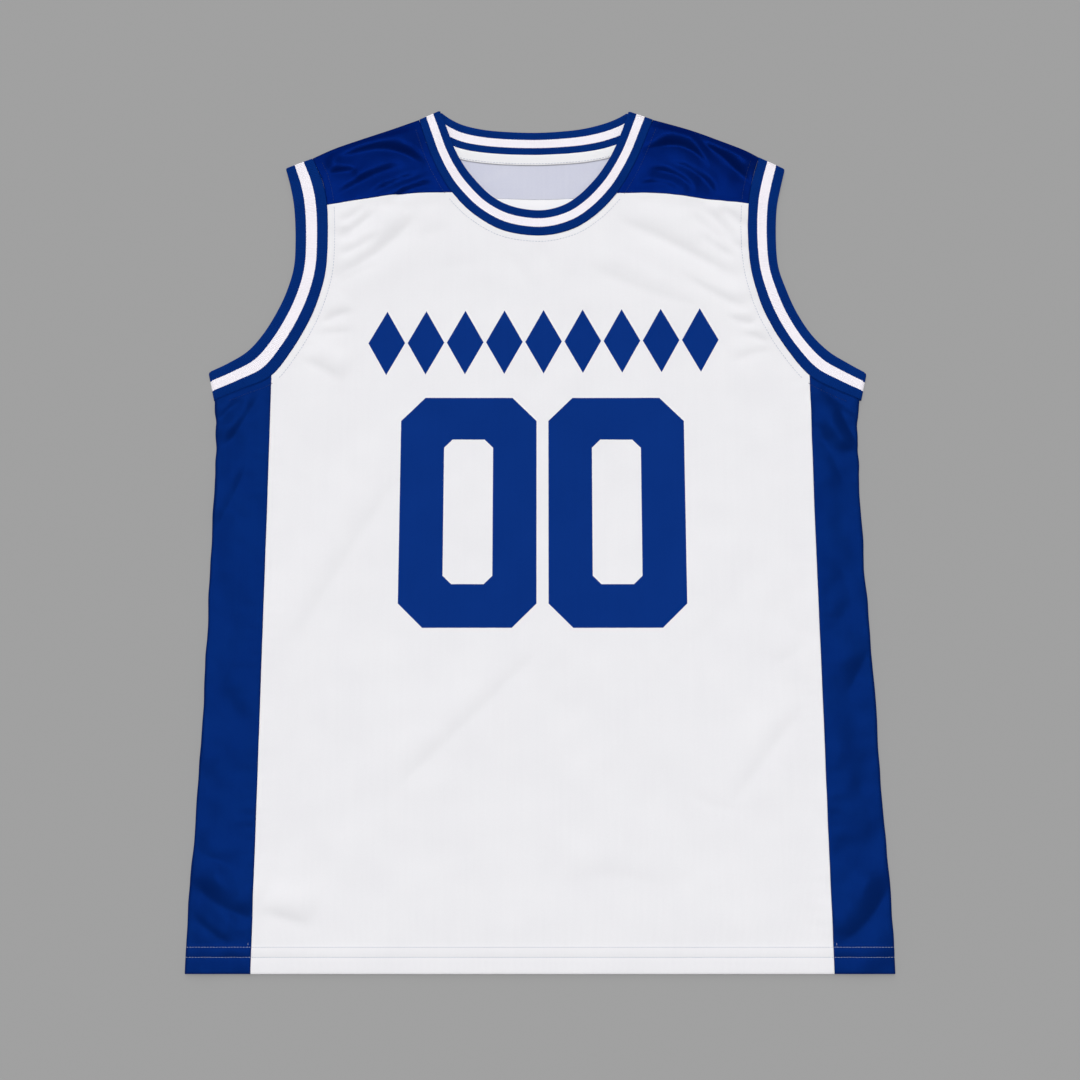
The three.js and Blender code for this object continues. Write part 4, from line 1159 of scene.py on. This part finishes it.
# Stitches
# Spun polyester thread in short lockstitches: two rows round the hem, one row beside the
# collar and armhole seams, and one along the tape. Each stitch dips into the cloth.
THREAD, THREAD_SIDES = 0.17, 6
STITCH_SHARES = np.array([0, 0.2, 0.5, 0.8, 1])
STITCH_RISE = np.array([-0.16, 0.1, 0.17, 0.1, -0.16])
STITCH_SIZE = [0.45, 0.9, 1, 0.9, 0.45]
STITCH_LENGTH = 0.82  # share of the spacing
LENGTH_SPREAD, MOST_SKEW = (0.92, 1.06), 0.09
TINY = 1e-9
random = np.random.default_rng(7)


def stitches(name, runs, period, finish, slot):
    """Joined stitches along runs of points on the cloth, each with its outward direction."""
    points, faces = [], []
    around = TURN * np.arange(THREAD_SIDES) / THREAD_SIDES
    for line, outward in runs:
        reached = reach(line)
        count = int(reached[-1] / period)
        starts = (np.arange(count) + 0.5) * reached[-1] / count
        for middle in starts:
            span = period * STITCH_LENGTH * random.uniform(*LENGTH_SPREAD)
            skew = random.uniform(-MOST_SKEW, MOST_SKEW)
            off_middle = (STITCH_SHARES - 0.5) * span
            at = np.clip(middle + off_middle, 0, reached[-1])
            centre, out = at_places(line, reached, at), at_places(outward, reached, at)
            run = centre[-1] - centre[0]
            run /= np.linalg.norm(run) + TINY
            side = np.cross(out[2], run)
            side /= np.linalg.norm(side) + TINY
            centre = centre + out * STITCH_RISE[:, None] + side * (off_middle * skew)[:, None]
            first = len(points)
            for ring, size in enumerate(STITCH_SIZE):
                turn = side * np.cos(around)[:, None] + out[ring] * np.sin(around)[:, None]
                points.extend(centre[ring] + THREAD * size * turn)
            number = first + np.arange(len(STITCH_SIZE) * THREAD_SIDES).reshape(-1, THREAD_SIDES)
            for low, high in zip(number[:-1], number[1:]):
                for k in range(THREAD_SIDES):
                    n = (k + 1) % THREAD_SIDES
                    faces.append((low[k], low[n], high[n], high[k]))
            faces.append(tuple(number[0][::-1]))
            faces.append(tuple(number[-1]))
    piece = new_piece(name, np.array(points), [tuple(map(int, face)) for face in faces])
    finish.wear(piece, slot)
    return piece


TWIST, THREAD_FUZZ = 0.0004, 0.0006


def thread_finish(name, colour, deep):
    """Two-ply thread: slightly glossy, with its twist as a fine slanting relief."""
    finish = Finish(name, {"Specular IOR Level": 0.3, "Sheen Weight": 0.1})
    place = finish.node("TexCoord", {}, {}, "Object")
    split = finish.node("SeparateXYZ", {}, {0: place})
    twist = ((split.out("X") + split.out("Y") * 0.7) * (TURN / TWIST)).math("SINE")
    fuzz = finish.speckle(place, THREAD_FUZZ)
    # The twist also makes the colour darker in its grooves, as painted shade over the relief
    shade = (twist * 0.2 + fuzz + 0.5).clamp()
    finish.shade("Base Color", finish.blend(shade, deep, colour))
    finish.shade("Roughness", 0.5 + fuzz * 0.2)
    finish.relief(0.3, 0.00005, twist)
    return finish


# Painted shade: the white thread is painted grey blue for the shadows round its small stitches
white_thread_painted_shade = thread_finish("white_thread_painted_shade", (0.44, 0.49, 0.63, 1), (0.30, 0.34, 0.46, 1))
blue_thread = thread_finish("blue_thread", (0.001, 0.015, 0.12, 1), (0.0006, 0.009, 0.08, 1))
UP, DOWN = np.array([0.0, 0.0, 1.0]), np.array([0.0, 0.0, -1.0])
SUNK = 0.25  # the garment's weight presses the stitches under it into the cloth
SUNK_HEIGHTS = 0.5, 1.5  # which ends over these heights

HEM_PERIOD = 2.3
TACK, TACK_REACH, TACK_STEPS = 2.6, 3.5, 5
hem_runs = []
for stitch_height in (HEM_STITCH_LOW, HEM_STITCH_HIGH):
    row = front_outer[HEM_HEIGHTS.index(stitch_height)]
    hem_runs.append((row, np.broadcast_to(UP, row.shape)))
    row = back_outer[HEM_HEIGHTS.index(stitch_height)]
    hem_runs.append((row + (0, 0, SUNK), np.broadcast_to(DOWN, row.shape)))
    for shell, side in ((side_left_outer, -1), (side_right_outer, 1)):
        row = shell[HEM_HEIGHTS.index(stitch_height)]
        along = np.gradient(row, axis=0)
        outward = np.stack([-along[:, 2] * side, np.zeros(len(row)), along[:, 0] * side], 1)
        outward /= np.linalg.norm(outward, axis=1)[:, None]
        sunk = SUNK * (1 - smoothstep(row[:, 2], *SUNK_HEIGHTS))
        hem_runs.append((row + UP * sunk[:, None], outward))
# a few stitches up each side seam lock the hem's ends
for column, side in ((SEAM_LEFT, -1), (SEAM_RIGHT, 1)):
    heights = np.linspace(HEM_STITCH_HIGH - TACK_REACH, HEM_STITCH_HIGH + TACK_REACH, TACK_STEPS)
    tack = side_line(column, heights) + (side * TACK, 0)
    tack = lifted(tack, front_under(*tack.T) + CLOTH)
    hem_runs.append((tack, np.broadcast_to(UP, tack.shape)))
hem_stitches = stitches("hem_stitches", hem_runs, HEM_PERIOD, white_thread_painted_shade, "white_knit")

NECK_STITCH, ARM_STITCH, SEAM_STITCH_PERIOD = 5.5, 6.0, 2.6
RUN_START, RUN_STEP, LEAST_STEPS = 2.5, 2, 8  # a row starts inside its seam's end
# rows of the tables between a fold and the first stitch
FRONT_START, BACK_START, TIP_START, UNDERARM_END = 0.4, 0.6, 0.3, 0.4
# places on the far side of the seams, which the stitches lie away from
IN_NECK, OVER_NECK = (-4.0, 680.0), (-4.0, 760.0)
BESIDE_ARM, UNDER_ARM = (320, 590.0), (249.6, 620.0)


def beside(seam, distance, on_front, away_from):
    """A run of points at a distance beside a seam, on the front or the back of the garment."""
    end = RUN_START / reach(seam)[-1]
    count = max(LEAST_STEPS, int(reach(seam)[-1] / RUN_STEP))
    seam = at_shares(seam, np.linspace(end, 1 - end, count))
    step = np.gradient(seam, axis=0)
    step /= np.linalg.norm(step, axis=1)[:, None]
    out = np.stack([step[:, 1], -step[:, 0]], 1)
    middle = len(seam) // 2
    if (seam[middle] - away_from) @ out[middle] < 0:
        out = -out
    place = seam + out * distance
    lift = front_under(*place.T) + CLOTH if on_front else back_lift(*place.T) + SUNK
    return lifted(place, lift), np.broadcast_to(UP if on_front else DOWN, (len(place), 3))


def neck_row(rows, start, end, on_front=True, away_from=IN_NECK):
    return beside(edge(rows[:, 2:], start, end), NECK_STITCH, on_front, away_from)


neck_white = [neck_row(COLLAR_FRONT, NECK_LEFT, NECK_RIGHT)]
neck_blue = [neck_row(COLLAR_FRONT, FRONT_START, NECK_LEFT),
             neck_row(COLLAR_FRONT, NECK_RIGHT, NECK_END - FRONT_START),
             neck_row(COLLAR_BACK, BACK_START, BACK_END - BACK_START, False, OVER_NECK)]
arm_white, arm_blue = [], []
for armhole, side in ((ARMHOLE_LEFT, -1), (ARMHOLE_RIGHT, 1)):
    for on_front in (True, False):
        for rows, start, end, (away_x, away_height) in (
                (arm_white, AT_YOKE, AT_SIDE, BESIDE_ARM),
                (arm_blue, TIP_START, AT_YOKE, BESIDE_ARM),
                (arm_blue, AT_SIDE, AT_FOLD - UNDERARM_END, UNDER_ARM)):
            rows.append(beside(edge(armhole[:, 2:], start, end), ARM_STITCH, on_front,
                               (side * away_x, away_height)))


def seam_stitches(name, runs, thread, slot):
    return stitches(name, runs, SEAM_STITCH_PERIOD, thread, slot)


collar_stitches = seam_stitches("collar_stitches", neck_white, white_thread_painted_shade, "white_knit")
yoke_stitches = seam_stitches("yoke_stitches", neck_blue + arm_blue, blue_thread, "blue_knit")
armhole_stitches = seam_stitches("armhole_stitches", arm_white, white_thread_painted_shade, "white_knit")
TAPE_STITCH_DEPTH = 0.15
tape_line = line + down * (TAPE_OFF_SEAM + TAPE_WIDTH - TAPE_STITCH)
tape_run = lifted(tape_line, np.full(len(line), base + TAPE - TAPE_STITCH_DEPTH))
tape_run = tape_run, np.broadcast_to(UP, tape_run.shape)
tape_stitches = seam_stitches("tape_stitches", [tape_run], white_thread_painted_shade, "white_tape")


# Floor, light and camera
# A plain grey studio surface, a broad soft light from above, a weaker one from the neck's
# side, and an even fill.
FLOOR_SIZE, PAPER_GRAIN, FILL = 8, 0.004, 0.32
LENS, SENSOR = 56.67, 36
CAMERA_AT, CAMERA_TILT = (0.00085, -0.3196, 1.36096), 12.5

bpy.ops.mesh.primitive_plane_add(size=FLOOR_SIZE, location=(0, 0, 0))
floor = bpy.context.object
floor.name = "studio_floor"
paper = Finish("studio_paper", {"Roughness": 0.95, "Specular IOR Level": 0.0})
place = paper.node("TexCoord", {}, {}, "Object")
grain = paper.speckle(place, PAPER_GRAIN) * 0.06 + 0.5
paper.shade("Base Color", paper.blend(grain, (0.14, 0.14, 0.14, 1), (0.156, 0.156, 0.156, 1)))
paper.shade("Emission Color", paper.blend(grain, (0.2, 0.2, 0.2, 1), (0.222, 0.222, 0.222, 1)))
paper.shade("Emission Strength", 1.0)
floor.data.materials.append(paper.material)

world = bpy.data.worlds.new("studio")
world.use_nodes = True
world.node_tree.nodes["Background"].inputs["Color"].default_value = (1, 1, 1, 1)
world.node_tree.nodes["Background"].inputs["Strength"].default_value = FILL
bpy.context.scene.world = world
# strength, width of the light in degrees, and its turns about X and Y
LAMPS = {"front": (1.62, 34, -12, -4), "top": (0.72, 45, -48, -12)}
for name, (energy, width, turn_x, turn_y) in LAMPS.items():
    lamp = bpy.data.lights.new(name, "SUN")
    lamp.energy = energy
    lamp.angle = math.radians(width)
    light = bpy.data.objects.new(name, lamp)
    light.rotation_euler = (math.radians(turn_x), math.radians(turn_y), 0)
    bpy.context.scene.collection.objects.link(light)

lens = bpy.data.cameras.new("camera")
lens.sensor_width = SENSOR
lens.lens = LENS
camera = bpy.data.objects.new("camera", lens)
camera.location = CAMERA_AT
camera.rotation_euler = (math.radians(CAMERA_TILT), 0, 0)
bpy.context.scene.collection.objects.link(camera)
bpy.context.scene.camera = camera
bpy.context.scene.view_settings.view_transform = "Standard"
